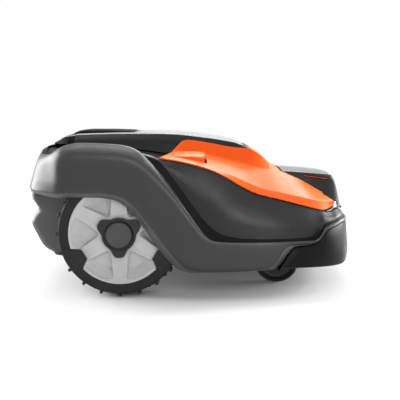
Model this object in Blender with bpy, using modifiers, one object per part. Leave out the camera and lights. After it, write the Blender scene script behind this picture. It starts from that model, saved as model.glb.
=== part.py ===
"""Robotic lawn mower, modelled as the assembly that it is built from.

Metres, +X forward, +Y to the left, +Z up, origin on the ground under the middle of the body.
Run it with blender --background --python part.py, or from the text editor.
"""

import math

import bmesh
import bpy
import numpy as np
from mathutils import Matrix, Vector

MM = 0.001
MERGE_DISTANCE = 0.00005

# Overall size
BODY_LENGTH = 0.720
BODY_WIDTH = 0.560

# Walls and fits
SHELL_WALL = 0.0028
PANEL_WALL = 0.0026
BUMPER_WALL = 0.0035
TOUCH_GAP = 0.0004
SHUT_GAP = 0.0016
RUN_GAP = 0.0006

# Rear wheels
WHEEL_RADIUS = 0.130
LUG_HEIGHT = 0.0062
TYRE_WIDTH = 0.056
RIM_EDGE_RADIUS = 0.1025
AXLE_X = -0.156
WHEEL_TO_FENDER = 0.0100
FENDER_RETURN = 0.0140
LUGS_PER_ROW = 20
LUG_TAPER = 0.55
SPOKES = 6

# Front casters
CASTER_RADIUS = 0.049
CASTER_TYRE_WIDTH = 0.030
CASTER_TRAIL = 0.034
CASTER_PIVOT_X = 0.210
CASTER_PIVOT_IN = 0.066

# Cutting unit
CUTTER_X = 0.028
DISC_RADIUS = 0.104
DISC_HEIGHT = 0.044
BLADE_REACH = 0.120
BLADES = 3
HEIGHT_TRAVEL = 0.020

# Chassis
TUB_FLOOR = 0.080
TUB_FRONT_FLOOR = 0.128
TUB_RIM = 0.150
TUB_WALL = 0.0040
DOME_TOP = 0.222

# Controls
STOP_TRAVEL = 0.005
KEY_TRAVEL = 0.002
HATCH_WALL = 0.0036

HALF_LENGTH = BODY_LENGTH / 2
HALF_WIDTH = BODY_WIDTH / 2
AXLE_Z = WHEEL_RADIUS
TREAD_RADIUS = WHEEL_RADIUS - LUG_HEIGHT
WHEEL_FACE_Y = HALF_WIDTH - FENDER_RETURN - WHEEL_TO_FENDER

# The body lines are drawn in millimetres round an axle here, and follow the sizes above when those change
DRAWN_AXLE = (-156, 126)
BODY_LIFT = AXLE_Z - DRAWN_AXLE[1] * MM


def smooth_curve(*knots):
    """Return a function through knots in millimetres, flat at both ends and with no overshoot."""
    place, value = np.array(knots, dtype=float).T * MM
    step = np.diff(place)
    slope = np.diff(value) / step
    tangent = np.zeros(len(place))
    for i in range(1, len(place) - 1):
        if slope[i - 1] * slope[i] > 0:
            before = 2 * step[i] + step[i - 1]
            after = step[i] + 2 * step[i - 1]
            tangent[i] = (before + after) / (before / slope[i - 1] + after / slope[i])

    def at(where):
        i = int(np.clip(np.searchsorted(place, where) - 1, 0, len(step) - 1))
        t = min(max((where - place[i]) / step[i], 0.0), 1.0)
        return ((1 + 2 * t) * (1 - t) ** 2 * value[i] + t * (1 - t) ** 2 * step[i] * tangent[i]
                + t * t * (3 - 2 * t) * value[i + 1] + t * t * (t - 1) * step[i] * tangent[i + 1])

    return at


# Plan of the body: outer edge x and y, then the edge of the opening in its deck, x and y
BODY_PLAN = (
    (-360, 0, -298, 0),
    (-355, 150, -296, 70),
    (-338, 226, -288, 112),
    (-291, 268, -268, 119),
    (-268, 278.5, -258, 120),
    (-240, 280, -240, 120),
    (-180, 280, -180, 120),
    (-110, 280, -110, 120),
    (-60, 280, -60, 120),
    (0, 280, 0, 120),
    (120, 272, 120, 118),
    (200, 257, 197, 76),
    (262, 234, 256, 74),
    (312, 190, 294, 66),
    (338, 110, 314, 46),
    (356, 0, 322, 0),
)
DRAWN_HALF_LENGTH = -BODY_PLAN[0][0] * MM
DRAWN_HALF_WIDTH = max(outer_y for _, outer_y, _, _ in BODY_PLAN) * MM
PLAN_STEPS = (1, 2, 2, 2, 1, 1, 4, 2, 2, 3, 6, 4, 3, 2, 2)

# Height of the body's lines, against the place along the body
ARCH_EDGE_Z = smooth_curve((-360, 211), (-338, 209.5), (-285, 204), (-190, 202), (-160, 197), (-139, 184),
                           (-122, 165), (-60, 79), (-35, 57), (-8, 51), (150, 55), (162, 58), (168, 64),
                           (190, 94), (198, 100), (240, 104.5), (252, 110), (266, 127), (291, 130.5),
                           (356, 119))
ARCH_LIP_Z = smooth_curve((-360, 216), (-338, 215.5), (-285, 214), (-190, 214), (-155, 209), (-128, 193),
                          (-95, 152), (-48, 90), (-20, 62), (10, 55), (138, 57), (148, 61), (184, 104),
                          (190, 105.5), (240, 106.5), (252, 112), (266, 129), (291, 132.5), (356, 121))
BAND_Z = smooth_curve((-360, 232), (-190, 232), (-150, 225), (-125, 204), (-60, 118), (-25, 74), (10, 61),
                      (138, 61), (148, 64), (184, 106), (190, 107), (240, 108), (252, 114), (266, 130.5),
                      (291, 134), (356, 123.5))
FACE_TOP_Z = smooth_curve((-360, 262), (-330, 271), (-285, 287), (-229, 291), (-180, 290), (-138, 285),
                          (-112, 275), (-90, 257), (-42, 204), (-2, 148), (15, 127), (40, 116), (86, 113),
                          (190, 111.5), (240, 109.5), (252, 116), (264, 131), (291, 137), (356, 129))
CREST_Z = smooth_curve((-360, 291), (-330, 284), (-300, 288), (-278, 302), (-256, 311), (-231, 315),
                       (-165, 312), (-138, 308), (-118, 299), (-92, 275), (-53, 229), (-10, 168), (12, 137),
                       (30, 120), (52, 116), (86, 114.5), (190, 113), (240, 112), (252, 119), (264, 134),
                       (291, 139), (356, 132))
VALLEY_Z = smooth_curve((-360, 295), (-330, 284), (-300, 281), (-231, 292), (-140, 290), (-112, 284),
                        (-92, 266), (-53, 222), (-10, 160), (12, 130), (30, 115), (52, 111.5), (86, 110),
                        (190, 109.5), (240, 109.5), (252, 116.5), (264, 131.5), (291, 137.5), (356, 133))
FLANK_FOOT_Z = smooth_curve((-360, 297), (-330, 286), (-300, 283), (-231, 292.5), (-140, 290.5),
                            (-110, 285), (-76, 271), (-53, 244), (-23, 204), (7, 162), (21, 146), (37, 132),
                            (63, 121), (107, 115), (190, 113), (240, 114), (252, 121), (264, 136),
                            (291, 141), (356, 136))
FLANK_TOP_Z = smooth_curve((-360, 298), (-330, 287), (-300, 284), (-231, 292), (-140, 290), (-100, 284),
                           (-74, 276), (-34, 269), (7, 259), (31, 251), (57, 239), (94, 217), (124, 203),
                           (159, 194), (220, 177), (255, 167), (286, 160), (318, 151), (356, 147))
DECK_Z = smooth_curve((-360, 291), (-300, 287), (-231, 290), (-140, 287), (-60, 277), (0, 270), (60, 255),
                      (120, 236), (200, 203), (262, 176), (312, 149), (356, 141))

# Inset of the same lines from the outer edge of the plan
ARCH_EDGE_IN = smooth_curve((-360, 4), (-275, 4), (-250, 14), (-230, 15), (-60, 15), (10, 12), (150, 8),
                            (260, 6), (300, 10), (356, 13))
ARCH_LIP_IN = smooth_curve((-360, 0), (-330, 2), (-230, 3), (10, 3), (260, 2), (300, 7), (356, 11))
BAND_IN = smooth_curve((-360, 7), (-330, 4), (-275, 0.5), (262, 0), (300, 6), (356, 12))
FACE_TOP_IN = smooth_curve((-360, 24), (-330, 21), (-300, 17), (-282, 11), (-262, 5), (-240, 3), (0, 1),
                           (240, 0), (286, 6), (356, 15))
CREST_IN = smooth_curve((-360, 39), (-330, 38), (-285, 36), (-231, 35), (-140, 35), (-90, 26), (-30, 14),
                        (20, 6), (60, 4), (240, 4), (286, 9), (356, 18))
VALLEY_IN = smooth_curve((-360, 50), (-300, 56), (-231, 62), (-140, 60), (-90, 44), (-30, 29), (20, 22),
                         (60, 19), (240, 16), (286, 16), (356, 22))
FLANK_FOOT_IN = smooth_curve((-360, 54), (-300, 62), (-231, 68), (-140, 66), (-90, 52), (-30, 36), (20, 27),
                             (60, 22), (240, 19), (286, 19), (356, 25))
FLANK_TOP_IN = smooth_curve((-360, 57), (-300, 70), (-231, 90), (-140, 86), (-74, 56), (0, 52), (100, 47),
                            (200, 42), (262, 38), (312, 34), (356, 33))
FLANK_BULGE = smooth_curve((-120, 0), (-40, 5), (60, 12), (200, 9), (290, 4), (356, 1))

# Step in the top of the flank, where the orange panel's skirt comes down
REBATE_IN = 0.0025
REBATE_DROP = 0.0060

# The ridge along the top
RIDGE_Z = smooth_curve((-318, 303), (-304, 310), (-289, 316), (-270, 319), (-214, 321), (-170, 322),
                       (-81, 322), (-37, 320), (7, 315), (51, 309), (84, 302), (106, 293), (118, 288))
RIDGE_TAPER = smooth_curve((-318, 0.70), (-304, 0.84), (-289, 0.95), (-270, 1.0), (118, 1.0))
RIDGE_CROWN = 0.002
RIDGE_FOOT_HALF_WIDTH = 0.1225
RIDGE_SEAT = 0.0028
RIDGE_TAIL_END = -0.280
RIDGE_TAIL_SEAT = 0.0016
RIDGE_HALF_WIDTH = 0.114
RIDGE_SHOULDER = 0.6
RIDGE_TOP_HALF_WIDTH = 0.101
RIDGE_FRONT = 0.1165
HATCH_BACK = -0.135
HATCH_FRONT = 0.104
HATCH_HALF_WIDTH = 0.086
HATCH_EDGE_DROP = 0.004
HATCH_EDGE_IN = 0.002
HATCH_STEPS = 8

# The orange panel, which lies on the deck
PANEL_BACK = -0.075
SLOPE_START = 0.119
SLOPE_END = 0.190
PANEL_CREST_Z = smooth_curve((-75, 279), (-34, 274), (17, 262), (69, 243), (110, 224), (135, 214),
                             (194, 200), (246, 188), (270, 183), (285, 182), (302, 182))
PANEL_CREASE_Z = smooth_curve((-75, 280), (-45, 284), (-15, 282), (18, 277), (50, 270), (105, 257),
                              (137, 249), (170, 244), (190, 238), (230, 219), (264, 196), (287, 187),
                              (302, 185))
PANEL_TOP_Z = smooth_curve((-75, 281), (-52, 285), (-32, 306), (-22, 309), (29, 302), (72, 294), (119, 288),
                           (128, 283), (142, 274), (159, 259), (178, 244), (190, 238), (230, 221),
                           (264, 203.5), (287, 193), (302, 188))


def along(place):
    """Move a drawn place along the body to where the real sizes put it."""
    drawn = (-DRAWN_HALF_LENGTH, DRAWN_AXLE[0] * MM, DRAWN_HALF_LENGTH)
    return float(np.interp(place, drawn, (-HALF_LENGTH, AXLE_X, HALF_LENGTH)))


def drawn_outline(points):
    """Move an outline, drawn for the drawn sizes, along the body to where the real sizes put it."""
    return [(along(place), across) for place, across in points]


def plan_curves():
    """Return the plan's outer and inner edges as functions of the way round from the back."""
    plan = np.array(BODY_PLAN, dtype=float)
    way = np.concatenate(([0], np.cumsum(np.hypot(*np.diff(plan[:, :2], axis=0).T))))
    return way * MM, [smooth_curve(*zip(way, column)) for column in plan.T]


PLAN_WAY, PLAN_COORDINATES = plan_curves()


def plan_at(way):
    """Return the drawn place along the body, and the outer and inner points of the plan, right side."""
    outer_x, outer_y, inner_x, inner_y = (curve(way) for curve in PLAN_COORDINATES)
    wider = HALF_WIDTH - DRAWN_HALF_WIDTH
    share = outer_y / DRAWN_HALF_WIDTH
    outer = Vector((along(outer_x), -outer_y - wider * share, 0))
    inner = Vector((along(inner_x), -inner_y, 0))
    return outer_x, outer, inner


def plan_ways(first=0, last=None):
    """Return the stations of the plan between two of its knots."""
    ways = []
    spans = list(zip(PLAN_WAY[:-1], PLAN_WAY[1:], PLAN_STEPS))[first:last]
    for start, end, steps in spans:
        ways += [start + (end - start) * i / steps for i in range(steps)]
    return ways + [spans[-1][1]]


def way_at(place):
    """Return the way round the plan at a drawn place along the body."""
    low, high = PLAN_WAY[0], PLAN_WAY[-1]
    for _ in range(40):
        middle = (low + high) / 2
        if PLAN_COORDINATES[0](middle) < place:
            low = middle
        else:
            high = middle
    return (low + high) / 2


def inset_point(outer, inner, inset, height):
    """Return the point that lies a given way in from the plan's outer edge."""
    inward = (inner - outer).normalized()
    point = outer + inward * inset
    return Vector((point.x, point.y, height + BODY_LIFT))


def body_section(way):
    """Return the section of the body shell, from the lower edge up and in to the deck opening."""
    place, outer, inner = plan_at(way)
    foot_in, foot_z = FLANK_FOOT_IN(place), FLANK_FOOT_Z(place)
    top_in, top_z = FLANK_TOP_IN(place), FLANK_TOP_Z(place)
    lines = [
        (ARCH_EDGE_IN(place), ARCH_EDGE_Z(place)),
        (ARCH_LIP_IN(place), ARCH_LIP_Z(place)),
        (BAND_IN(place), BAND_Z(place)),
        (FACE_TOP_IN(place), FACE_TOP_Z(place)),
        (CREST_IN(place), CREST_Z(place)),
        (VALLEY_IN(place), VALLEY_Z(place)),
        (foot_in, foot_z),
        ((foot_in + top_in) / 2 - FLANK_BULGE(place), (foot_z + top_z) / 2),
        (top_in, top_z),
        (top_in + REBATE_IN, top_z - REBATE_DROP),
        ((inner - outer).length, DECK_Z(place)),
    ]
    return [inset_point(outer, inner, inset, height) for inset, height in lines]


def rounded(points, shares):
    """Cut the corners of a section: each inner corner by its share of the shorter side."""
    result = [points[0]]
    for before, corner, after, share in zip(points, points[1:], points[2:], shares):
        if share == 0:
            result.append(corner)
            continue
        reach = share * min((corner - before).length, (after - corner).length)
        result.append(corner + (before - corner).normalized() * reach)
        result.append(corner + (after - corner).normalized() * reach)
    return result + [points[-1]]


# Facets round a turned piece, by its size
PIN_SIDES = 10
SHAFT_SIDES = 14
CASTER_SIDES = 20
HUB_SIDES = 24
DISC_SIDES = 28
RIM_SIDES = 32

# Modelling helpers

def clear_scene():
    """Start from an empty scene."""
    for obj in list(bpy.data.objects):
        bpy.data.objects.remove(obj, do_unlink=True)


def new_collection(name):
    """Return a new collection in the scene."""
    made = bpy.data.collections.new(name)
    bpy.context.scene.collection.children.link(made)
    return made


clear_scene()
PARTS = new_collection("robotic_lawn_mower")
CUTTERS = new_collection("cutters")


def make_material(name, colour, roughness, metallic=0.0):
    """Return a plain material with the part's colour."""
    made = bpy.data.materials.new(name)
    made.use_nodes = True
    shader = made.node_tree.nodes["Principled BSDF"]
    shader.inputs["Base Color"].default_value = (*colour, 1.0)
    shader.inputs["Roughness"].default_value = roughness
    shader.inputs["Metallic"].default_value = metallic
    made.diffuse_color = (*colour, 1.0)
    return made


GREY_PLASTIC = make_material("grey_body_plastic", (0.060, 0.060, 0.061), 0.5)
DARK_PLASTIC = make_material("dark_plastic", (0.022, 0.022, 0.023), 0.4)
ORANGE_PLASTIC = make_material("orange_gloss_plastic", (0.80, 0.075, 0.006), 0.25)
BLACK_RUBBER = make_material("black_rubber", (0.012, 0.012, 0.012), 0.7)
TYRE_RUBBER = make_material("tyre_rubber", (0.022, 0.022, 0.022), 0.8)
RIM_PLASTIC = make_material("light_grey_plastic", (0.50, 0.50, 0.50), 0.45)
LENS_PLASTIC = make_material("smoked_lens", (0.010, 0.010, 0.012), 0.1)
BARE_STEEL = make_material("bare_steel", (0.55, 0.55, 0.56), 0.3, 1.0)
BRASS = make_material("brass", (0.70, 0.50, 0.20), 0.3, 1.0)
BOARD_GREEN = make_material("circuit_board", (0.02, 0.15, 0.05), 0.5)


def place_mesh(name, mesh, material, matrix=Matrix()):
    """Put a mesh in the scene as a part."""
    obj = bpy.data.objects.new(name, mesh)
    PARTS.objects.link(obj)
    if not mesh.materials:
        mesh.materials.append(material)
    obj.matrix_world = matrix
    return obj


def place_part(name, bm, material, matrix=Matrix()):
    """Turn a bmesh into a part."""
    mesh = bpy.data.meshes.new(name)
    bm.to_mesh(mesh)
    bm.free()
    return place_mesh(name, mesh, material, matrix)


def set_origin(obj, point):
    """Move a part's origin to a point, such as one on the axis that it turns about."""
    obj.data.transform(Matrix.Translation(-Vector(point)))
    obj.matrix_world = Matrix.Translation(point)


def smooth_shade(obj, angle=35):
    """Shade a part smooth, apart from its sharp edges."""
    obj.data.shade_smooth()
    obj.data.set_sharp_from_angle(angle=math.radians(angle))


def cut_with(obj, bm, operation="DIFFERENCE", name="cutter"):
    """Cut a part with a bmesh, or join the bmesh to it."""
    cutter = place_part(f"{obj.name}_{name}", bm, DARK_PLASTIC)
    PARTS.objects.unlink(cutter)
    CUTTERS.objects.link(cutter)
    cutter.hide_render = True
    cutter.display_type = "WIRE"
    modifier = obj.modifiers.new(name, "BOOLEAN")
    modifier.operation = operation
    modifier.object = cutter
    return cutter


def join_with(obj, bm, name="joined"):
    """Join a bmesh to a part."""
    return cut_with(obj, bm, "UNION", name)


def finished_mesh(obj):
    """Return a part's evaluated mesh, and take the part and its cutters out of the scene."""
    cutters = [m.object for m in obj.modifiers if m.type == "BOOLEAN"]
    bpy.context.view_layer.update()
    evaluated = obj.evaluated_get(bpy.context.evaluated_depsgraph_get())
    mesh = bpy.data.meshes.new_from_object(evaluated)
    for used in [obj, *cutters]:
        bpy.data.objects.remove(used, do_unlink=True)
    return mesh


def mirror_and_thicken(obj, wall, mirror=True):
    """Give a half surface its other half, and a wall inside it."""
    if mirror:
        modifier = obj.modifiers.new("other_side", "MIRROR")
        modifier.use_axis = (False, True, False)
        modifier.merge_threshold = MERGE_DISTANCE
    modifier = obj.modifiers.new("wall", "SOLIDIFY")
    modifier.thickness = wall
    modifier.offset = -1.0


def sheet(rows, bm=None):
    """Return a surface through rows of points, each row one section."""
    bm = bm or bmesh.new()
    grid = [[bm.verts.new(point) for point in row] for row in rows]
    for row, after in zip(grid, grid[1:]):
        for j in range(len(row) - 1):
            bm.faces.new((row[j], after[j], after[j + 1], row[j + 1]))
    return bm


def with_back_wall(rows):
    """Put a row before the first that drops to its foot, so that the surface closes at the back."""
    return [[Vector((p.x, p.y, rows[0][0].z)) for p in rows[0]]] + rows


def with_front_wall(rows):
    """Put a row after the last that drops to its foot, so that the surface closes at the front."""
    return rows + [[Vector((p.x, p.y, rows[-1][0].z)) for p in rows[-1]]]


def weld(bm):
    """Merge points that fall together."""
    bmesh.ops.remove_doubles(bm, verts=bm.verts[:], dist=MERGE_DISTANCE)


def box(low, high, bevel=0.0, segments=1):
    """Return a box between two corners, with rounded edges."""
    bm = bmesh.new()
    bmesh.ops.create_cube(bm, size=1.0)
    low, high = Vector(low), Vector(high)
    bmesh.ops.scale(bm, vec=high - low, verts=bm.verts)
    bmesh.ops.translate(bm, vec=(high + low) / 2, verts=bm.verts)
    if bevel:
        bmesh.ops.bevel(bm, geom=bm.edges[:], offset=bevel, segments=segments, affect="EDGES",
                        profile=0.5)
    return bm


def rod(start, end, radius, sides=SHAFT_SIDES):
    """Return a round bar between two points."""
    start, end = Vector(start), Vector(end)
    way = end - start
    turn = Vector((0, 0, 1)).rotation_difference(way).to_matrix().to_4x4()
    bm = bmesh.new()
    bmesh.ops.create_cone(bm, cap_ends=True, segments=sides, radius1=radius, radius2=radius,
                          depth=way.length, matrix=Matrix.Translation((start + end) / 2) @ turn)
    return bm


def prism(outline, bottom, top, corner=0.0, segments=2):
    """Return an outline in plan, raised between two heights, with rounded corners."""
    bm = bmesh.new()
    corners = [bm.verts.new((x, y, bottom)) for x, y in outline]
    bm.faces.new(corners)
    if corner:
        bmesh.ops.bevel(bm, geom=corners, offset=corner, segments=segments, affect="VERTICES",
                        profile=0.5, clamp_overlap=True)
    raised = bmesh.ops.extrude_face_region(bm, geom=bm.faces[:])["geom"]
    bmesh.ops.translate(bm, vec=(0, 0, top - bottom),
                        verts=[v for v in raised if isinstance(v, bmesh.types.BMVert)])
    bmesh.ops.recalc_face_normals(bm, faces=bm.faces[:])
    return bm


def turned(name, profile, steps, material):
    """Return a part turned about Z from a closed profile of radius and height."""
    bm = bmesh.new()
    points = [bm.verts.new((radius, 0, height)) for radius, height in profile]
    for start, end in zip(points, points[1:] + points[:1]):
        bm.edges.new((start, end))
    obj = place_part(name, bm, material)
    modifier = obj.modifiers.new("turn", "SCREW")
    modifier.steps = steps
    modifier.render_steps = steps
    modifier.use_merge_vertices = True
    modifier.merge_threshold = MERGE_DISTANCE
    return obj


def polar(radius, degrees):
    """Return a point in plan from its radius and angle."""
    return (radius * math.cos(math.radians(degrees)), radius * math.sin(math.radians(degrees)))


def mirrored(outline):
    """Return a half outline with its other half, about the X axis."""
    return list(outline) + [(x, -y) for x, y in reversed(outline)]


# The floating body

SECTION_LINES = 11
CREST_CORNER = 4
CREST_ROUND = 0.30


def body_shell():
    """Fenders, arches, sills, grooves and flanks, as one moulding."""
    shares = [CREST_ROUND if corner == CREST_CORNER else 0.0 for corner in range(1, SECTION_LINES - 1)]
    rows = [rounded(body_section(way), shares) for way in plan_ways()]
    obj = place_part("body_shell", sheet(rows), GREY_PLASTIC)
    mirror_and_thicken(obj, SHELL_WALL)
    for x, y, foot in BOSSES:
        join_with(obj, deck_boss(x, y, foot), "boss")
    smooth_shade(obj, 20)
    return obj


BOSS_RADIUS = 0.012


DECK_LINES = [body_section(way)[-2:] for way in plan_ways()]


def deck_height(x, y):
    """Return the height of the deck's outer face at a point in plan."""
    across = [start.lerp(end, (-abs(y) - start.y) / (end.y - start.y))
              for start, end in DECK_LINES if start.y < -abs(y) < end.y]
    return float(np.interp(x, [point.x for point in across], [point.z for point in across]))


def deck_boss(x, y, foot):
    """Return a post under the deck, with its top inside the deck's wall."""
    bm = rod((x, y, foot), (x, y, foot + BOSS_RADIUS), BOSS_RADIUS, PIN_SIDES)
    middle = foot + BOSS_RADIUS / 2
    for vert in bm.verts:
        if vert.co.z > middle:
            vert.co.z = deck_height(vert.co.x, vert.co.y) - SHELL_WALL / 2
    bmesh.ops.triangulate(bm, faces=[f for f in bm.faces if len(f.verts) > 4])
    return bm


PANEL_SKIRT_OUT = 0.0015
PANEL_SKIRT_GAP = 0.0034
PANEL_SKIRT_IN = 0.011
PANEL_TIP_LIFT = smooth_curve((258, 0), (272, 2.5), (284, 7), (294, 13), (302, 19))
CREASE_MARGIN = smooth_curve((-75, 12), (120, 12), (200, 26), (256, 22), (302, 16))
TOP_MARGIN = smooth_curve((-75, -3), (100, -3), (120, -3), (190, 9), (256, 11), (302, 10))
PANEL_SLANT = (0.0, 0.002, 0.020, 0.040)
PANEL_SLANT_END = 0.030


def panel_point(place, line, slant):
    """Return a point of the orange panel's surface, on one of its four lines."""
    fade = min(max((PANEL_SLANT_END - place) / (PANEL_SLANT_END - PANEL_BACK), 0.0), 1.0)
    place = place + slant * fade * fade
    where, outer, inner = plan_at(way_at(place))
    reach = (inner - outer).length
    edge_in, edge_z = FLANK_TOP_IN(where), FLANK_TOP_Z(where) + PANEL_SKIRT_GAP
    lines = (
        (edge_in - PANEL_SKIRT_OUT, edge_z + PANEL_TIP_LIFT(where)),
        (edge_in + PANEL_SKIRT_IN, PANEL_CREST_Z(where)),
        (reach - CREASE_MARGIN(where), PANEL_CREASE_Z(where)),
        (reach - TOP_MARGIN(where), PANEL_TOP_Z(where)),
    )
    return inset_point(outer, inner, *lines[line])


PANEL_PLACES = (-0.075, -0.055, -0.035, -0.010, 0.020, 0.050, 0.085, 0.119, 0.131, 0.145, 0.160,
                0.176, 0.190, 0.210, 0.235, 0.260, 0.275, 0.288, 0.300)
SCOOP_BACK = -0.052
SCOOP_FRONT = 0.016
SCOOP_HEIGHT = 0.010
SCOOP_OUTER_Y = 0.200
SCOOP_INNER_Y = 0.142


def panel_height(x, y):
    """Return the height of the orange panel between its crest and its crease."""
    crest, crease = panel_point(x, 1, 0.0), panel_point(x, 2, 0.0)
    return float(np.interp(-abs(y), (crest.y, crease.y), (crest.z, crease.z)))


def panel_scoop(side):
    """Return the raised finger grip near the back of the panel, as a wedge."""
    root = PANEL_WALL / 2
    bm = bmesh.new()
    rows = []
    for x, rise in ((SCOOP_BACK, 0.0), (SCOOP_FRONT, SCOOP_HEIGHT)):
        for y in (SCOOP_OUTER_Y, SCOOP_INNER_Y):
            for lift in (-root, rise + root / 4):
                rows.append(bm.verts.new((x, side * y, panel_height(x, y) + lift)))
    bmesh.ops.convex_hull(bm, input=rows)
    return bm


def top_panel():
    """The glossy orange cover: two arms, the walls beside the ridge and the slope before it."""
    rows = [[panel_point(place, line, slant) for line, slant in enumerate(PANEL_SLANT)]
            for place in PANEL_PLACES]
    bm = sheet(rows)
    slope = []
    for place, row in zip(PANEL_PLACES, rows):
        if SLOPE_START <= place <= SLOPE_END:
            edge = row[-1]
            slope.append([edge, Vector((edge.x, edge.y / 2, edge.z + RIDGE_CROWN)),
                          Vector((edge.x, 0.0, edge.z + RIDGE_CROWN))])
    sheet(slope, bm)
    weld(bm)
    obj = place_part("top_panel", bm, ORANGE_PLASTIC)
    mirror_and_thicken(obj, PANEL_WALL)
    for side in (-1, 1):
        join_with(obj, panel_scoop(side), "scoop")
    smooth_shade(obj)
    return obj


BUMPER_START = 0.164
BUMPER_FULL = 0.184
BUMPER_TUCK_IN = 0.0060
BUMPER_TUCK_UP = 0.0035
BUMPER_TUCK_ROOM = 2.2 * SHELL_WALL
BUMPER_FOOT_IN = 0.012
BUMPER_FOOT_DROP = 0.001
BUMPER_CORNER_IN = 0.003
BUMPER_BELLY = 0.3
BUMPER_BROW = 0.85
BUMPER_BROW_OUT = 0.004
BUMPER_RISE = 0.1
BUMPER_FOOT_Z = smooth_curve((166, 57), (218, 56), (270, 53), (320, 50), (356, 49))
BUMPER_BULGE = smooth_curve((166, 0), (230, 0), (300, 2), (340, 3), (356, 4))


def front_bumper():
    """The soft black bumper that wraps the front end under the body shell."""
    rows = []
    for way in plan_ways():
        place, outer, inner = plan_at(way)
        if place < BUMPER_START:
            continue
        foot = BUMPER_FOOT_Z(place)
        top = ARCH_EDGE_Z(place) - 3 * TOUCH_GAP - max(BUMPER_FULL - place, 0.0) * BUMPER_RISE
        height = top - foot
        edge = ARCH_EDGE_IN(place)
        tuck = edge + BUMPER_TUCK_IN
        room = VALLEY_Z(place) - BUMPER_TUCK_ROOM - top
        tuck_up = min(BUMPER_TUCK_UP, max(room, TOUCH_GAP))
        lines = ((BUMPER_FOOT_IN, foot - BUMPER_FOOT_DROP), (BUMPER_CORNER_IN, foot),
                 (-BUMPER_BULGE(place), foot + BUMPER_BELLY * height),
                 (edge - BUMPER_BROW_OUT, foot + BUMPER_BROW * height),
                 (edge, top), (tuck, top), (tuck, top + tuck_up))
        rows.append([inset_point(outer, inner, inset, z) for inset, z in lines])
    obj = place_part("front_bumper", sheet(rows), BLACK_RUBBER)
    mirror_and_thicken(obj, BUMPER_WALL)
    smooth_shade(obj)
    return obj


NOSE_TOP_Z = smooth_curve((194, 236), (230, 234), (280, 230), (306, 226), (314, 217), (324, 189),
                          (335, 153))
NOSE_FOOT_Z = smooth_curve((194, 198), (256, 174), (290, 160), (302, 153), (335, 149.5))
NOSE_HALF = smooth_curve((194, 81), (250, 80), (290, 73), (320, 62), (335, 54))
NOSE_PLACES = (0.194, 0.225, 0.256, 0.290, 0.306, 0.314, 0.324, 0.335)
NOSE_TUMBLEHOME = 0.006
NOSE_SHOULDER = 0.8
NOSE_EDGE = 0.006
NOSE_LOW = 0.008
NOSE_LOW_IN = 0.003


def nose_cover():
    """The dark sensor block between the panel's arms."""
    rows = []
    for place in NOSE_PLACES:
        half, top = NOSE_HALF(place), NOSE_TOP_Z(place)
        deck = deck_height(along(place), half) - BODY_LIFT
        foot = min(max(NOSE_FOOT_Z(place), deck + 4 * TOUCH_GAP), top - SHELL_WALL)
        shoulder = (half - NOSE_TUMBLEHOME * NOSE_SHOULDER, top - NOSE_EDGE)
        if top - foot < NOSE_LOW:
            shoulder = (half - NOSE_LOW_IN, (top + foot) / 2)
        section = [(half, foot), shoulder, (half - NOSE_TUMBLEHOME - NOSE_EDGE, top),
                   (0.0, top + RIDGE_CROWN)]
        rows.append([Vector((along(place), -y, z + BODY_LIFT)) for y, z in section])
    bm = sheet(with_back_wall(rows))
    weld(bm)
    obj = place_part("nose_cover", bm, DARK_PLASTIC)
    mirror_and_thicken(obj, SHELL_WALL)
    smooth_shade(obj)
    return obj


LIGHT_START = 0.306
LIGHT_END = 0.340
LIGHT_STEPS = 6
LIGHT_HEIGHT = 0.013
LIGHT_SECTION = ((0.001, 0.0), (0.004, 0.6), (0.010, 1.0))


def headlight(side):
    """A smoked lens strip under the tip of the panel's arm."""
    rows = []
    first, last = way_at(LIGHT_START), way_at(LIGHT_END)
    for i in range(LIGHT_STEPS + 1):
        place, outer, inner = plan_at(first + (last - first) * i / LIGHT_STEPS)
        inset, foot = FLANK_TOP_IN(place), FLANK_TOP_Z(place) + TOUCH_GAP
        rows.append([inset_point(outer, inner, inset + depth, foot + share * LIGHT_HEIGHT)
                     for depth, share in LIGHT_SECTION])
    if side > 0:
        rows = [[Vector((p.x, -p.y, p.z)) for p in row] for row in reversed(rows)]
    name = "headlight_left" if side > 0 else "headlight_right"
    obj = place_part(name, sheet(rows), LENS_PLASTIC)
    mirror_and_thicken(obj, PANEL_WALL, mirror=False)
    return obj


RIDGE_PLACES = (-0.318, -0.304, -0.289, -0.270, -0.230, -0.160, -0.080, -0.020, 0.030, 0.070, 0.100,
                RIDGE_FRONT)


def ridge_height(place, y):
    """Return the height of the ridge's top at a drawn place along the body."""
    share = min(abs(y) / RIDGE_TOP_HALF_WIDTH, 1.0)
    return RIDGE_Z(place) + RIDGE_CROWN * (1 - share * share) + BODY_LIFT


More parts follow.
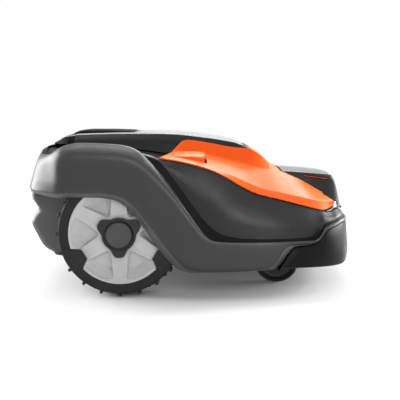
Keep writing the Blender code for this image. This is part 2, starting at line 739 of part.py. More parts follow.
def spine_frame():
    """The dark ridge along the top, open for the stop button and the hatch."""
    rows = []
    for place in RIDGE_PLACES:
        base = deck_height(along(place), RIDGE_FOOT_HALF_WIDTH) + RIDGE_SEAT
        if place < RIDGE_TAIL_END:
            base = FLANK_TOP_Z(-DRAWN_HALF_LENGTH) + BODY_LIFT + RIDGE_TAIL_SEAT
        top = ridge_height(place, RIDGE_TOP_HALF_WIDTH)
        shoulder = base + (top - base) * RIDGE_SHOULDER
        section = [(RIDGE_FOOT_HALF_WIDTH, base), (RIDGE_HALF_WIDTH, shoulder)]
        section += [(y, ridge_height(place, y))
                    for y in (RIDGE_TOP_HALF_WIDTH, RIDGE_TOP_HALF_WIDTH / 2, 0.0)]
        rows.append([Vector((along(place), -y * RIDGE_TAPER(place) / MM, z)) for y, z in section])
    bm = sheet(with_front_wall(with_back_wall(rows)))
    weld(bm)
    obj = place_part("spine_frame", bm, DARK_PLASTIC)
    mirror_and_thicken(obj, SHELL_WALL)
    cut_with(obj, box_cutter(STOP_BACK, STOP_FRONT, STOP_HALF_WIDTH, SHUT_GAP), name="stop_opening")
    cut_with(obj, box_cutter(HATCH_BACK, HATCH_FRONT + LIP_SWING, HATCH_HALF_WIDTH, SHUT_GAP),
             name="hatch_opening")
    for side in (-1, 1):
        join_with(obj, hinge_ear(side), "ear")
    cut_with(obj, pin_hole(), name="pin_hole")
    return obj


STOP_BACK = -0.284
STOP_FRONT = -0.142
STOP_HALF_WIDTH = 0.062
STOP_TOP_Z = smooth_curve((-284, 321), (-270, 326), (-245, 328), (-200, 328), (-165, 327), (-148, 326),
                          (-142, 324.5))
STOP_PLACES = (-0.284, -0.277, -0.255, -0.225, -0.185, -0.148, -0.142)
STOP_SKIRT = 0.016
STOP_EDGE = 0.006


def stop_button():
    """The long low stop button at the back of the ridge, hollow underneath."""
    rows = []
    for place in STOP_PLACES:
        top = STOP_TOP_Z(place) + BODY_LIFT
        foot = ridge_height(STOP_BACK, 0.0) - STOP_SKIRT
        section = [(STOP_HALF_WIDTH, foot), (STOP_HALF_WIDTH, top - STOP_EDGE),
                   (STOP_HALF_WIDTH - STOP_EDGE, top - STOP_EDGE / 6), (0.0, top)]
        rows.append([Vector((along(place), -y, z)) for y, z in section])
    bm = sheet(with_front_wall(with_back_wall(rows)))
    weld(bm)
    obj = place_part("stop_button", bm, DARK_PLASTIC)
    set_origin(obj, (along((STOP_BACK + STOP_FRONT) / 2), 0.0, rows[0][0].z))
    mirror_and_thicken(obj, SHELL_WALL)
    return obj


PIN_RADIUS = 0.0025
PIN_X = 0.090
PIN_DROP = 0.013
PIN_HALF_LENGTH = 0.062
KNUCKLE_Y = 0.044
EAR_Y = 0.056
KNUCKLE_HALF_WIDTH = 0.005
KNUCKLE_REACH = PIN_RADIUS + 0.003
LIP_SWING = 0.0015
EAR_TOP = PIN_RADIUS + 0.002
EAR_DROP = 0.020
EAR_FOOT = 0.008


def pin_height():
    """Return the height of the hatch's hinge axis."""
    return ridge_height(PIN_X, 0.0) - PIN_DROP


def pin_hole():
    """Return a cutter for the hinge pin."""
    reach = PIN_HALF_LENGTH + PIN_RADIUS
    return rod((along(PIN_X), -reach, pin_height()), (along(PIN_X), reach, pin_height()),
               PIN_RADIUS + TOUCH_GAP, PIN_SIDES)


def side_block(outline, y, half_width):
    """Return a solid from an outline of x and z, as wide as a hinge knuckle."""
    bm = prism([(x, z) for x, z in outline], -half_width, half_width)
    bmesh.ops.rotate(bm, verts=bm.verts, matrix=Matrix.Rotation(math.radians(90), 3, "X"))
    bmesh.ops.translate(bm, verts=bm.verts, vec=(0, y, 0))
    return bm


def hinge_ear(side):
    """Return the ear on the ridge frame that holds one end of the pin, clear of the lid's swing."""
    x, z, reach = along(PIN_X), pin_height(), KNUCKLE_REACH
    wall = along(RIDGE_FRONT) - SHELL_WALL / 2
    top, step, foot = z + EAR_TOP, z - EAR_DROP, z - EAR_DROP - EAR_FOOT
    outline = [(x - reach, top), (x - reach, foot), (wall, foot), (wall, step),
               (x + reach / 2, step), (x + reach / 2, top)]
    return side_block(outline, side * EAR_Y, KNUCKLE_HALF_WIDTH)


def hatch_knuckle(side):
    """Return the block under the lid that turns on the pin."""
    x, z, reach = along(PIN_X), pin_height(), KNUCKLE_REACH
    top = z + PIN_DROP - HATCH_WALL / 2
    outline = [(x - reach, top), (x - reach, z - reach), (x + reach, z - reach),
               (x + reach, top - reach / 2)]
    return side_block(outline, side * KNUCKLE_Y, KNUCKLE_HALF_WIDTH)


def hatch():
    """The lid over the controls, hinged at its front edge."""
    rows = []
    for i in range(HATCH_STEPS + 1):
        place = HATCH_BACK + (HATCH_FRONT - HATCH_BACK) * i / HATCH_STEPS
        section = [(HATCH_HALF_WIDTH, ridge_height(place, HATCH_HALF_WIDTH) - HATCH_EDGE_DROP)]
        section += [(y, ridge_height(place, y))
                    for y in (HATCH_HALF_WIDTH - HATCH_EDGE_IN, HATCH_HALF_WIDTH / 2, 0.0)]
        rows.append([Vector((along(place), -y, z)) for y, z in section])
    obj = place_part("hatch", sheet(rows), DARK_PLASTIC)
    set_origin(obj, (along(PIN_X), 0.0, pin_height()))
    mirror_and_thicken(obj, HATCH_WALL)
    for side in (-1, 1):
        join_with(obj, hatch_knuckle(side), "knuckle")
    cut_with(obj, pin_hole(), name="pin_hole")
    return obj


def hatch_pin():
    """The steel pin through the hatch's knuckles and the frame's ears."""
    ends = [(along(PIN_X), side * PIN_HALF_LENGTH, pin_height()) for side in (-1, 1)]
    place_part("hatch_pin", rod(*ends, PIN_RADIUS, PIN_SIDES), BARE_STEEL)


OPENING_DEPTH = 0.060
OPENING_RISE = 0.030


def box_cutter(back, front, half_width, gap):
    """Return a tall cutter in the ridge's top, round a piece between two drawn places."""
    low = ridge_height(back, 0.0) - OPENING_DEPTH
    edge = half_width + gap
    return prism(mirrored([(along(back) - gap, edge), (along(front) + gap, edge)]),
                 low, ridge_height(HATCH_BACK, 0.0) + OPENING_RISE)


# The chassis

TUB_HALF_WIDTH = 0.160
TUB_TO_TYRE = 0.004
TUB_FRONT_HALF_WIDTH = WHEEL_FACE_Y - TYRE_WIDTH - TUB_TO_TYRE
TUB_CHAMFER = 0.020
TUB_NOSE_HALF_WIDTH = 0.110
TUB_OUTLINE = drawn_outline(((-0.300, TUB_HALF_WIDTH - TUB_CHAMFER), (-0.280, TUB_HALF_WIDTH),
                             (-0.025, TUB_HALF_WIDTH), (0.010, TUB_FRONT_HALF_WIDTH),
                             (0.130, TUB_FRONT_HALF_WIDTH), (0.240, TUB_FRONT_HALF_WIDTH - TUB_CHAMFER),
                             (0.268, TUB_NOSE_HALF_WIDTH)))
TUB_BELLY = 4
TUB_BACK_X, TUB_NOSE_X = TUB_OUTLINE[0][0], TUB_OUTLINE[-1][0]
TUB_CORNER = 0.012
CASTER_X = along(CASTER_PIVOT_X)
CASTER_Y = TUB_FRONT_HALF_WIDTH - CASTER_PIVOT_IN
CASTER_TO_STEP = 0.005
TUB_STEP_X = CASTER_X - CASTER_TRAIL - CASTER_RADIUS - CASTER_TO_STEP
WELL_RADIUS = 0.056
SEAL_THICKNESS = 0.0020
FLANGE_THICKNESS = 0.0040
UNIT_RADIUS = 0.047
DOME_TO_UNIT = 0.010
DOME_TO_TUB = 0.010
DOME_BACK = TUB_BACK_X + 0.022
DOME_FRONT = CUTTER_X + UNIT_RADIUS + DOME_TO_UNIT
DOME_HALF_WIDTH = TUB_HALF_WIDTH - DOME_TO_TUB
DOME_WALL = 0.0035
MOTOR_RADIUS = 0.033
MOTOR_INNER_Y = 0.034
MOTOR_OUTER_Y = TUB_HALF_WIDTH - 0.020
MOTOR_NOSE_RADIUS = 0.0215
MOTOR_BORE_DEPTH = 0.022
SHAFT_RADIUS = 0.0080
SHAFT_HOLE_GAP = 0.003
STEM_RADIUS = 0.0080
BUSH_RADIUS = 0.0130

# Posts under the deck, which stand on the pillars
FRONT_BOSS = (DOME_FRONT + 0.020, 0.155)
REAR_BOSS = (along(-0.235), 0.134)
FRONT_BOSS_FOOT = 0.206
REAR_BOSS_FOOT = 0.262
BOSSES = [(x, side * y, foot + BODY_LIFT) for (x, y), foot in
          ((FRONT_BOSS, FRONT_BOSS_FOOT), (REAR_BOSS, REAR_BOSS_FOOT)) for side in (-1, 1)]


def inset_outline(outline, wall):
    """Return half a plan outline drawn in by a wall's thickness, at its back, front and side."""
    ends = {0: wall, len(outline) - 1: -wall}
    return [(x + ends.get(i, 0.0), y - wall) for i, (x, y) in enumerate(outline)]


def chassis_lower():
    """The tub that carries the motors, battery and casters, with a raised floor over the casters."""
    wall, above = TUB_WALL, TUB_RIM + TUB_WALL
    obj = place_part("chassis_lower", prism(mirrored(TUB_OUTLINE), TUB_FLOOR, TUB_RIM, TUB_CORNER),
                     DARK_PLASTIC)
    inner = inset_outline(TUB_OUTLINE, wall)
    belly = inner[TUB_BELLY][1]
    rear = [(x, y) for x, y in inner if x < TUB_STEP_X] + [(TUB_STEP_X - wall, belly)]
    front = [(TUB_STEP_X - 2 * wall, belly)] + inner[TUB_BELLY:]
    cut_with(obj, box((TUB_STEP_X, -HALF_WIDTH, TUB_FLOOR - wall),
                      (HALF_LENGTH, HALF_WIDTH, TUB_FRONT_FLOOR)), name="step")
    cut_with(obj, prism(mirrored(rear), TUB_FLOOR + wall, above, TUB_CORNER), name="hollow")
    cut_with(obj, prism(mirrored(front), TUB_FRONT_FLOOR + wall, above, TUB_CORNER),
             name="front_hollow")
    cut_with(obj, rod((CUTTER_X, 0, TUB_FLOOR - wall), (CUTTER_X, 0, TUB_FLOOR + 2 * wall),
                      WELL_RADIUS, DISC_SIDES), name="well")
    for side in (-1, 1):
        cut_with(obj, rod((AXLE_X, side * (TUB_HALF_WIDTH - 3 * wall), AXLE_Z),
                          (AXLE_X, side * (TUB_HALF_WIDTH + wall), AXLE_Z),
                          SHAFT_RADIUS + SHAFT_HOLE_GAP), name="shaft_hole")
        x, y = CASTER_X, side * CASTER_Y
        cut_with(obj, rod((x, y, TUB_FRONT_FLOOR - wall), (x, y, TUB_FRONT_FLOOR + 2 * wall),
                          BUSH_RADIUS + TOUCH_GAP), name="bush_hole")
    return obj


def chassis_seal():
    """The gasket between the tub and its cover."""
    low = TUB_RIM + TOUCH_GAP
    obj = place_part("chassis_seal", prism(mirrored(TUB_OUTLINE), low, low + SEAL_THICKNESS, TUB_CORNER),
                     BLACK_RUBBER)
    inside = mirrored(inset_outline(TUB_OUTLINE, TUB_WALL))
    cut_with(obj, prism(inside, low - TUB_WALL, low + TUB_WALL, TUB_CORNER), name="inside")
    return obj


FLANGE_FOOT = TUB_RIM + SEAL_THICKNESS + 2 * TOUCH_GAP
FLANGE_TOP = FLANGE_FOOT + FLANGE_THICKNESS


def dome_outline(wall):
    """Return half the plan of the raised middle of the chassis cover."""
    return [(DOME_BACK + wall, DOME_HALF_WIDTH - wall), (DOME_FRONT - wall, DOME_HALF_WIDTH - wall)]


def chassis_upper():
    """The cover of the tub, with a raised middle over the motors and the board."""
    obj = place_part("chassis_upper", prism(mirrored(TUB_OUTLINE), FLANGE_FOOT, FLANGE_TOP, TUB_CORNER),
                     DARK_PLASTIC)
    join_with(obj, prism(mirrored(dome_outline(0.0)), FLANGE_FOOT, DOME_TOP, TUB_CORNER), "dome")
    cut_with(obj, prism(mirrored(dome_outline(DOME_WALL)), FLANGE_FOOT - DOME_WALL,
                        DOME_TOP - DOME_WALL, TUB_CORNER), name="inside")
    return obj


TAIL_STEP = 0.001
TAIL_HALF_WIDTH = TUB_FRONT_HALF_WIDTH - TAIL_STEP
TAIL_PROFILE = ((-0.347, 0.2080), (-0.347, 0.1930), (-0.332, 0.168), (-0.345, 0.153), (-0.351, 0.138),
                (-0.344, 0.122), (-0.329, 0.091), (-0.316, 0.079), (-0.292, 0.069), (-0.238, 0.069),
                (-0.238, 0.2000))
TAIL_HOLLOW = ((-0.290, 0.192), (-0.322, 0.194), (-0.322, 0.098), (-0.312, 0.086), (-0.290, 0.080))
TAIL_WALL = 0.010
TAIL_ROUND = 0.005
TAIL_EDGE = 0.014


def tail_outline(points):
    """Return a side outline of the tail, lifted with the body."""
    return [(x, z + BODY_LIFT) for x, z in drawn_outline(points)]


def chassis_tail():
    """The guard behind the wheels, with a groove for the fingers that lift the mower."""
    bm = prism(tail_outline(TAIL_PROFILE), -TAIL_HALF_WIDTH, TAIL_HALF_WIDTH, TAIL_ROUND, 1)
    bmesh.ops.rotate(bm, verts=bm.verts, matrix=Matrix.Rotation(math.radians(90), 3, "X"))
    ends = [e for e in bm.edges
            if all(abs(abs(v.co.y) - TAIL_HALF_WIDTH) < MM / 10 and v.co.x < TUB_BACK_X for v in e.verts)]
    bmesh.ops.bevel(bm, geom=ends, offset=TAIL_EDGE, segments=1, affect="EDGES", profile=0.5,
                    clamp_overlap=True)
    obj = place_part("chassis_tail", bm, GREY_PLASTIC)
    tub_side = TUB_HALF_WIDTH + TOUCH_GAP
    tub = mirrored([(TUB_BACK_X - TOUCH_GAP, tub_side), (0.0, tub_side)])
    cut_with(obj, prism(tub, 0.0, BODY_WIDTH), name="tub")
    cut_with(obj, side_block(tail_outline(TAIL_HOLLOW), 0.0, TAIL_HALF_WIDTH - TAIL_WALL), name="hollow")
    smooth_shade(obj)
    return obj


CONSOLE_BACK = -0.150
CONSOLE_FRONT = 0.070
CONSOLE_HALF_WIDTH = 0.078
CONSOLE_DROP = 0.005
CONSOLE_TOP = pin_height() - CONSOLE_DROP
CONSOLE_BEVEL = 0.006
CONSOLE_WALL = 0.004
CONSOLE_TOP_WALL = 0.014
DISPLAY_BACK = -0.035
DISPLAY_FRONT = 0.050
DISPLAY_HALF_WIDTH = 0.046
DISPLAY_THICKNESS = 0.0022
KEY_RADIUS = 0.012
KEY_HEIGHT = 0.010
KEY_PROUD = 0.003
KEY_X = -0.090
KEY_Y = 0.032


def control_console():
    """The keypad and display housing under the hatch."""
    half, gap, wall = CONSOLE_HALF_WIDTH, TOUCH_GAP, CONSOLE_WALL
    obj = place_part("control_console", box((CONSOLE_BACK, -half, DOME_TOP + gap),
                                            (CONSOLE_FRONT, half, CONSOLE_TOP), CONSOLE_BEVEL),
                     DARK_PLASTIC)
    cut_with(obj, box((CONSOLE_BACK + wall, wall - half, DOME_TOP - wall),
                      (CONSOLE_FRONT - wall, half - wall, CONSOLE_TOP - CONSOLE_TOP_WALL)), name="hollow")
    seat = DISPLAY_HALF_WIDTH + gap
    cut_with(obj, box((DISPLAY_BACK - gap, -seat, CONSOLE_TOP - DISPLAY_THICKNESS - gap),
                      (DISPLAY_FRONT + gap, seat, CONSOLE_TOP + CONSOLE_BEVEL)), name="display_seat")
    depth = KEY_HEIGHT - KEY_PROUD + KEY_TRAVEL + RUN_GAP
    for side in (-1, 1):
        cut_with(obj, rod((KEY_X, side * KEY_Y, CONSOLE_TOP - depth),
                          (KEY_X, side * KEY_Y, CONSOLE_TOP + KEY_HEIGHT),
                          KEY_RADIUS + RUN_GAP, CASTER_SIDES), name="key_bore")
    return obj


def display():
    """The glass of the display."""
    low = CONSOLE_TOP - DISPLAY_THICKNESS
    place_part("display", box((DISPLAY_BACK, -DISPLAY_HALF_WIDTH, low),
                              (DISPLAY_FRONT, DISPLAY_HALF_WIDTH, CONSOLE_TOP)), LENS_PLASTIC)


def key(name, side, material):
    """A round push button on the console."""
    top = CONSOLE_TOP + KEY_PROUD
    bm = rod((0, 0, top - KEY_HEIGHT), (0, 0, top), KEY_RADIUS, CASTER_SIDES)
    edge = [e for e in bm.edges if all(v.co.z > top - MM for v in e.verts)]
    bmesh.ops.bevel(bm, geom=edge, offset=MM, segments=1, affect="EDGES")
    place_part(name, bm, material, Matrix.Translation((KEY_X, side * KEY_Y, 0)))


# The rear wheels

WHEEL_MID_Y = WHEEL_FACE_Y - TYRE_WIDTH / 2
SIDES = {"right": -1, "left": 1}
TAB_ANGLES = (90, 210, 330)
LOBE_ANGLES = (30, 150, 270)
TAB_INNER_RADIUS = 0.0835
TAB_HALF_ANGLE = 14.5
TAB_INNER_HALF_ANGLE = 7.2
TAB_DEPTH = 0.010
TAB_ROOT = 0.004
TAB_SEAT_RISE = 0.003
SHOULDER_DROP = 0.0033
TREAD_EDGE = 0.0045
SIDE_SETBACK = 0.0005
FACE_Z = 0.0225
RIM_EDGE_Z = 0.0260
WEB_BACK_Z = 0.0040
RIM_WALL = 0.0045
RIM_BACK_SETBACK = 0.004
RIM_DISH = 0.0125
RIM_LIP = 0.004
HUB_BOSS_WALL = 0.012
POCKET_FLOOR_Z = 0.0085
POCKET_RISE = 0.004
HUB_RADIUS = 0.0345
HUB_LOBE_RADIUS = 0.0470
HUB_DEPTH = 0.0085
HUB_RECESS_RADIUS = 0.0310
HUB_RECESS_DEPTH = 0.0055
LOBE_DROP = 0.0015
LOBE_SECTIONS = ((HUB_RADIUS - 0.008, 0.0195), (HUB_LOBE_RADIUS - 0.004, 0.0110), (HUB_LOBE_RADIUS, 0.0060))
CAP_RADIUS = 0.0257
CAP_HEIGHT = 0.0070

# Corners of a pocket in the rim: share of the rim's radius, and angle from the pocket's middle
POCKET_TOP = ((0.395, 4.5), (0.907, 22.0), (0.946, 11.0))
POCKET_FLOOR = ((0.459, 2.5), (0.722, 19.0), (0.737, 0.0))


def wheel_frame(side):
    """Return the matrix that puts a wheel, made with +Z outwards, on its axle."""
    place = Matrix.Translation((AXLE_X, side * WHEEL_MID_Y, AXLE_Z))
    if side < 0:
        return place @ Matrix.Rotation(math.radians(90), 4, "X")
    outward = Matrix.Rotation(math.radians(-90), 4, "X")
    return place @ outward @ Matrix.Rotation(math.radians(180), 4, "Z")


def hull(points):
    """Return the convex solid round some points."""
    bm = bmesh.new()
    bmesh.ops.convex_hull(bm, input=[bm.verts.new(point) for point in dict.fromkeys(map(tuple, points))])
    return bm


def tyre_tab(angle, gap):
    """Return one of the tyre's wedges that key into the rim, or with a gap the seat for it."""
    sway = math.degrees(gap / TAB_INNER_RADIUS)
    corners = [polar(RIM_EDGE_RADIUS + TAB_ROOT, angle + s * (TAB_HALF_ANGLE + sway)) for s in (-1, 1)]
    corners += [polar(TAB_INNER_RADIUS - gap, angle + s * (TAB_INNER_HALF_ANGLE + sway)) for s in (-1, 1)]
    top = RIM_EDGE_Z + (TAB_SEAT_RISE if gap else 0.0)
    return hull([(x, y, z) for x, y in corners for z in (RIM_EDGE_Z - TAB_DEPTH - gap, top)])


def is_lug(face, steps):
    """Tell whether a face of the tread carries a lug: the two rows take turns."""
    middle = face.calc_center_median()
    on_tread = math.hypot(middle.x, middle.y) > TREAD_RADIUS - MM
    if not on_tread or abs(middle.z) > TYRE_WIDTH / 2 - TREAD_EDGE:
        return False
    turn = round(math.degrees(math.atan2(middle.y, middle.x)) / (360 / steps)) % 4
    return turn == (0 if middle.z > 0 else 2)


def tyre_mesh():
    """A solid rubber tyre with two staggered rows of lugs, and three tabs that key into the rim."""
    shoulder, half = TREAD_RADIUS - SHOULDER_DROP, TYRE_WIDTH / 2
    seat, side = RIM_EDGE_RADIUS + TOUCH_GAP, RIM_EDGE_Z - SIDE_SETBACK
    tread = half - TREAD_EDGE
    profile = [(seat, side), (shoulder, half), (TREAD_RADIUS, tread), (TREAD_RADIUS, 0.0),
               (TREAD_RADIUS, -tread), (shoulder, -half), (seat, -side)]
    steps = 4 * LUGS_PER_ROW
    bm = bmesh.new()
    bm.from_mesh(finished_mesh(turned("tyre", profile, steps, TYRE_RUBBER)))
    bmesh.ops.rotate(bm, verts=bm.verts, matrix=Matrix.Rotation(math.pi / steps, 3, "Z"))
    lugs = [face for face in bm.faces if is_lug(face, steps)]
    for face in bmesh.ops.extrude_discrete_faces(bm, faces=lugs)["faces"]:
        outward = face.calc_center_median()
        outward.z = 0
        for vert in face.verts:
            axial = Vector((outward.x, outward.y, vert.co.z))
            vert.co = axial.lerp(vert.co, LUG_TAPER) + outward.normalized() * LUG_HEIGHT
    obj = place_part("tyre", bm, TYRE_RUBBER)
    for angle in TAB_ANGLES:
        join_with(obj, tyre_tab(angle, 0.0), "tab")
    return finished_mesh(obj)


def pocket_ring(corners, angle, height):
    """Return the corners of a pocket on both sides of its middle, at one height."""
    return [(*polar(share * RIM_EDGE_RADIUS, angle + s * away), height)
            for share, away in corners for s in (-1, 1)]


def pocket(angle):
    """Return the cutter for one dished pocket between two spokes."""
    return hull(pocket_ring(POCKET_TOP, angle, RIM_EDGE_Z + POCKET_RISE)
                + pocket_ring(POCKET_TOP, angle, FACE_Z)
                + pocket_ring(POCKET_FLOOR, angle, POCKET_FLOOR_Z))


def rim_mesh():
    """A moulded rim: barrel, spoked web with dished pockets, and a hub boss round the shaft."""
    bore = SHAFT_RADIUS + TOUCH_GAP
    back = RIM_BACK_SETBACK - TYRE_WIDTH / 2
    boss = SHAFT_RADIUS + HUB_BOSS_WALL
    barrel = RIM_EDGE_RADIUS - RIM_WALL
    profile = [(bore, FACE_Z), (RIM_EDGE_RADIUS - RIM_DISH, FACE_Z), (RIM_EDGE_RADIUS - RIM_LIP, RIM_EDGE_Z),
               (RIM_EDGE_RADIUS, RIM_EDGE_Z), (RIM_EDGE_RADIUS, back), (barrel, back),
               (barrel, WEB_BACK_Z), (boss, WEB_BACK_Z), (boss, back), (bore, back)]
    obj = turned("rim", profile, RIM_SIDES, RIM_PLASTIC)
    for k in range(SPOKES):
        cut_with(obj, pocket(360 / SPOKES * k), name="pocket")
    for angle in TAB_ANGLES:
        cut_with(obj, tyre_tab(angle, TOUCH_GAP), name="tab_seat")
    return finished_mesh(obj)


def lobe(angle, low, high):
    """Return one lobe of the hub knob."""
    turn = Matrix.Rotation(math.radians(angle), 3, "Z")
    return hull([turn @ Vector((reach, s * half, z))
                 for reach, half in LOBE_SECTIONS for s in (-1, 1) for z in (low, high)])


def hub_mesh():
    """The three-lobed knob that locks the wheel on its shaft, with a round recess for the cap."""
    low = FACE_Z + TOUCH_GAP
    high = low + HUB_DEPTH
    obj = place_part("hub", rod((0, 0, low), (0, 0, high), HUB_RADIUS, HUB_SIDES), DARK_PLASTIC)
    for angle in LOBE_ANGLES:
        join_with(obj, lobe(angle, low, high - LOBE_DROP), "lobe")
    cut_with(obj, rod((0, 0, high - HUB_RECESS_DEPTH), (0, 0, high + HUB_RECESS_DEPTH),
                      HUB_RECESS_RADIUS, HUB_SIDES), name="recess")
    return finished_mesh(obj)


def cap_mesh():
    """The plain round cap in the middle of the knob."""
    low = FACE_Z + HUB_DEPTH + 2 * TOUCH_GAP - HUB_RECESS_DEPTH
    bm = rod((0, 0, low), (0, 0, low + CAP_HEIGHT), CAP_RADIUS, HUB_SIDES)
    edge = [e for e in bm.edges if all(v.co.z > low + MM for v in e.verts)]
    bmesh.ops.bevel(bm, geom=edge, offset=MM, segments=1, affect="EDGES")
    mesh = bpy.data.meshes.new("cap")
    bm.to_mesh(mesh)
    bm.free()
    return mesh


def rear_wheels():
    """Both driven wheels: tyre, rim, knob, cap and shaft on each side."""
    pieces = {"rear_tyre": (tyre_mesh(), TYRE_RUBBER), "rear_rim": (rim_mesh(), RIM_PLASTIC),
              "wheel_hub": (hub_mesh(), DARK_PLASTIC), "hub_cap": (cap_mesh(), DARK_PLASTIC)}
    for name, side in SIDES.items():
        frame = wheel_frame(side)
        for piece, (mesh, material) in pieces.items():
            smooth_shade(place_mesh(f"{piece}_{name}", mesh, material, frame))
        inner = -WHEEL_MID_Y + TUB_HALF_WIDTH - TUB_WALL - TOUCH_GAP - MOTOR_BORE_DEPTH + RUN_GAP
        place_part(f"drive_shaft_{name}", rod((0, 0, inner), (0, 0, FACE_Z - TOUCH_GAP), SHAFT_RADIUS),
                   BARE_STEEL, frame)


def wheel_motors():
    """The gear motors inside the tub, each with a bore for its wheel's shaft."""
    outer = TUB_HALF_WIDTH - TUB_WALL - TOUCH_GAP
    bore = SHAFT_RADIUS + RUN_GAP
    for name, side in SIDES.items():
        case = rod((AXLE_X, side * MOTOR_INNER_Y, AXLE_Z), (AXLE_X, side * MOTOR_OUTER_Y, AXLE_Z),
                   MOTOR_RADIUS, HUB_SIDES)
        obj = place_part(f"wheel_motor_{name}", case, BARE_STEEL)
        join_with(obj, rod((AXLE_X, side * (MOTOR_OUTER_Y - MM), AXLE_Z), (AXLE_X, side * outer, AXLE_Z),
                           MOTOR_NOSE_RADIUS), "nose")
        cut_with(obj, rod((AXLE_X, side * (outer - MOTOR_BORE_DEPTH), AXLE_Z),
                          (AXLE_X, side * (outer + MOTOR_BORE_DEPTH), AXLE_Z), bore), name="bore")


# The front casters

ARM_THICKNESS = 0.007
ARM_EYE = 0.010
CASTER_GAP = 0.0015
CROWN_TOP = TUB_FRONT_FLOOR - 0.010
CROWN_THICKNESS = 0.008
CROWN_RADIUS = 0.017
CROWN_NOSE_HALF_WIDTH = 0.008
STEM_RISE = 0.022
CASTER_AXLE_RADIUS = 0.004
CASTER_HUB_RADIUS = 0.012
CASTER_RIM_RADIUS = CASTER_RADIUS - 0.008
CASTER_DISH = 0.004
CASTER_RIM_SETBACK = 0.003
CASTER_WEB = 0.008
CASTER_TYRE_SETBACK = 0.002
CASTER_SHOULDER_DROP = 0.003
CASTER_SHOULDER = 0.006
BUSH_DROP = 0.003


def caster_frame(side):
    """Return the matrix of a caster's swivel axis, on the ground."""
    return Matrix.Translation((CASTER_X, side * CASTER_Y, 0))


def caster_fork(name, side):
    """A swivel stem with a crown and one arm, which drops beside the wheel to its axle."""
    frame = caster_frame(side)
    inner = -side * (CASTER_TYRE_WIDTH / 2 + CASTER_GAP)
    low, high = sorted((inner, inner - side * ARM_THICKNESS))
    nose = side * CROWN_NOSE_HALF_WIDTH
    crown_plan = ((CROWN_RADIUS, low + 0.4 * (high - low)), (CROWN_RADIUS, nose), (-CROWN_RADIUS, low),
                  (-CROWN_RADIUS, high), (0, -low), (0, low))
    crown = hull([(x, y, z) for x, y in crown_plan for z in (CROWN_TOP - CROWN_THICKNESS, CROWN_TOP)])
    arm_top, axle = CROWN_TOP - MM / 2, CASTER_RADIUS
    arm_side = ((CROWN_RADIUS * 0.8, arm_top), (-CROWN_RADIUS, arm_top), (-CASTER_TRAIL - ARM_EYE, axle),
                (-CASTER_TRAIL, axle - ARM_EYE), (-CASTER_TRAIL + ARM_EYE, axle))
    arm = hull([(x, y, z) for x, z in arm_side for y in (low, high)])
    stem = rod((0, 0, CROWN_TOP - MM), (0, 0, TUB_FRONT_FLOOR + STEM_RISE), STEM_RADIUS)
    reach = CASTER_TYRE_WIDTH + ARM_THICKNESS
    hole = rod((-CASTER_TRAIL, -reach, axle), (-CASTER_TRAIL, reach, axle),
               CASTER_AXLE_RADIUS + TOUCH_GAP, PIN_SIDES)
    obj = place_part(f"caster_fork_{name}", stem, DARK_PLASTIC, frame)
    cutters = (join_with(obj, crown, "crown"), join_with(obj, arm, "arm"),
               cut_with(obj, hole, name="axle_hole"))
    for cutter in cutters:
        cutter.matrix_world = frame
    return obj


def caster_parts(name, side):
    """One front caster: fork, axle, wheel, tyre and the bush that the stem turns in."""
    caster_fork(name, side)
    frame = caster_frame(side)
    half, axle = CASTER_TYRE_WIDTH / 2, CASTER_RADIUS
    arm = half + CASTER_GAP + ARM_THICKNESS
    pin = rod((-CASTER_TRAIL, -side * arm, axle), (-CASTER_TRAIL, side * half, axle),
              CASTER_AXLE_RADIUS, PIN_SIDES)
    place_part(f"caster_axle_{name}", pin, BARE_STEEL, frame)
    bore, hub, rim = CASTER_AXLE_RADIUS + RUN_GAP, CASTER_HUB_RADIUS, CASTER_RIM_RADIUS
    half_wheel = [(bore, half - MM), (hub, half - MM), (hub, CASTER_WEB), (rim - CASTER_DISH, CASTER_WEB),
                  (rim, half - CASTER_RIM_SETBACK)]
    half_tyre = [(rim + TOUCH_GAP, half - CASTER_TYRE_SETBACK), (CASTER_RADIUS - CASTER_SHOULDER_DROP, half),
                 (CASTER_RADIUS, half - CASTER_SHOULDER)]
    wheel = turned(f"caster_wheel_{name}", mirrored(half_wheel), CASTER_SIDES, DARK_PLASTIC)
    tyre = turned(f"caster_tyre_{name}", mirrored(half_tyre), CASTER_SIDES, TYRE_RUBBER)
    spin = frame @ Matrix.Translation((-CASTER_TRAIL, 0, axle)) @ Matrix.Rotation(math.radians(90), 4, "X")
    wheel.matrix_world = spin
    tyre.matrix_world = spin
    low, inside = TUB_FRONT_FLOOR - BUSH_DROP, STEM_RADIUS + RUN_GAP
    high = low + STEM_RISE
    sleeve = [(inside, high), (BUSH_RADIUS, high), (BUSH_RADIUS, low), (inside, low)]
    bush = turned(f"caster_bush_{name}", sleeve, SHAFT_SIDES, BRASS)
    bush.matrix_world = frame
    for obj in (wheel, tyre, bush):
        smooth_shade(obj)


# The cutting unit

DISC_THICKNESS = 0.0025
DISC_HUB = ((0.018, 0.004), (0.022, 0.0))
DISC_EDGE = 0.004
DISC_EDGE_DROP = 0.001
UNIT_TOP = 0.168
UNIT_TO_DISC = 0.006
UNIT_CHAMFER = 0.010
UNIT_FOOT = ((0.0, 0.026), (-0.018, 0.004), (-0.022, 0.0))
CUTTER_SHAFT_RADIUS = 0.006
COLLAR_HEIGHT = 0.003
BLADE_PIVOT_RADIUS = 0.092
BLADE_WIDTH = 0.019
BLADE_HEEL = 0.009
BLADE_CORNER = 0.003
BLADE_THICKNESS = 0.0008
BLADE_DROP = 0.0030
SCREW_RADIUS = 0.0030
SCREW_HEAD_RADIUS = 0.0055
SCREW_HEAD_HEIGHT = 0.003
HOLE_REACH = 0.010
SKID_RADIUS = 0.072
SKID_DROP = 0.0120
SKID_WALL = 0.003
SKID_DISH = 0.012
SKID_LIP = ((0.0, 0.0075), (0.002, 0.0065), (-0.010, 0.0))
SCREW_ROD_RADIUS = 0.005
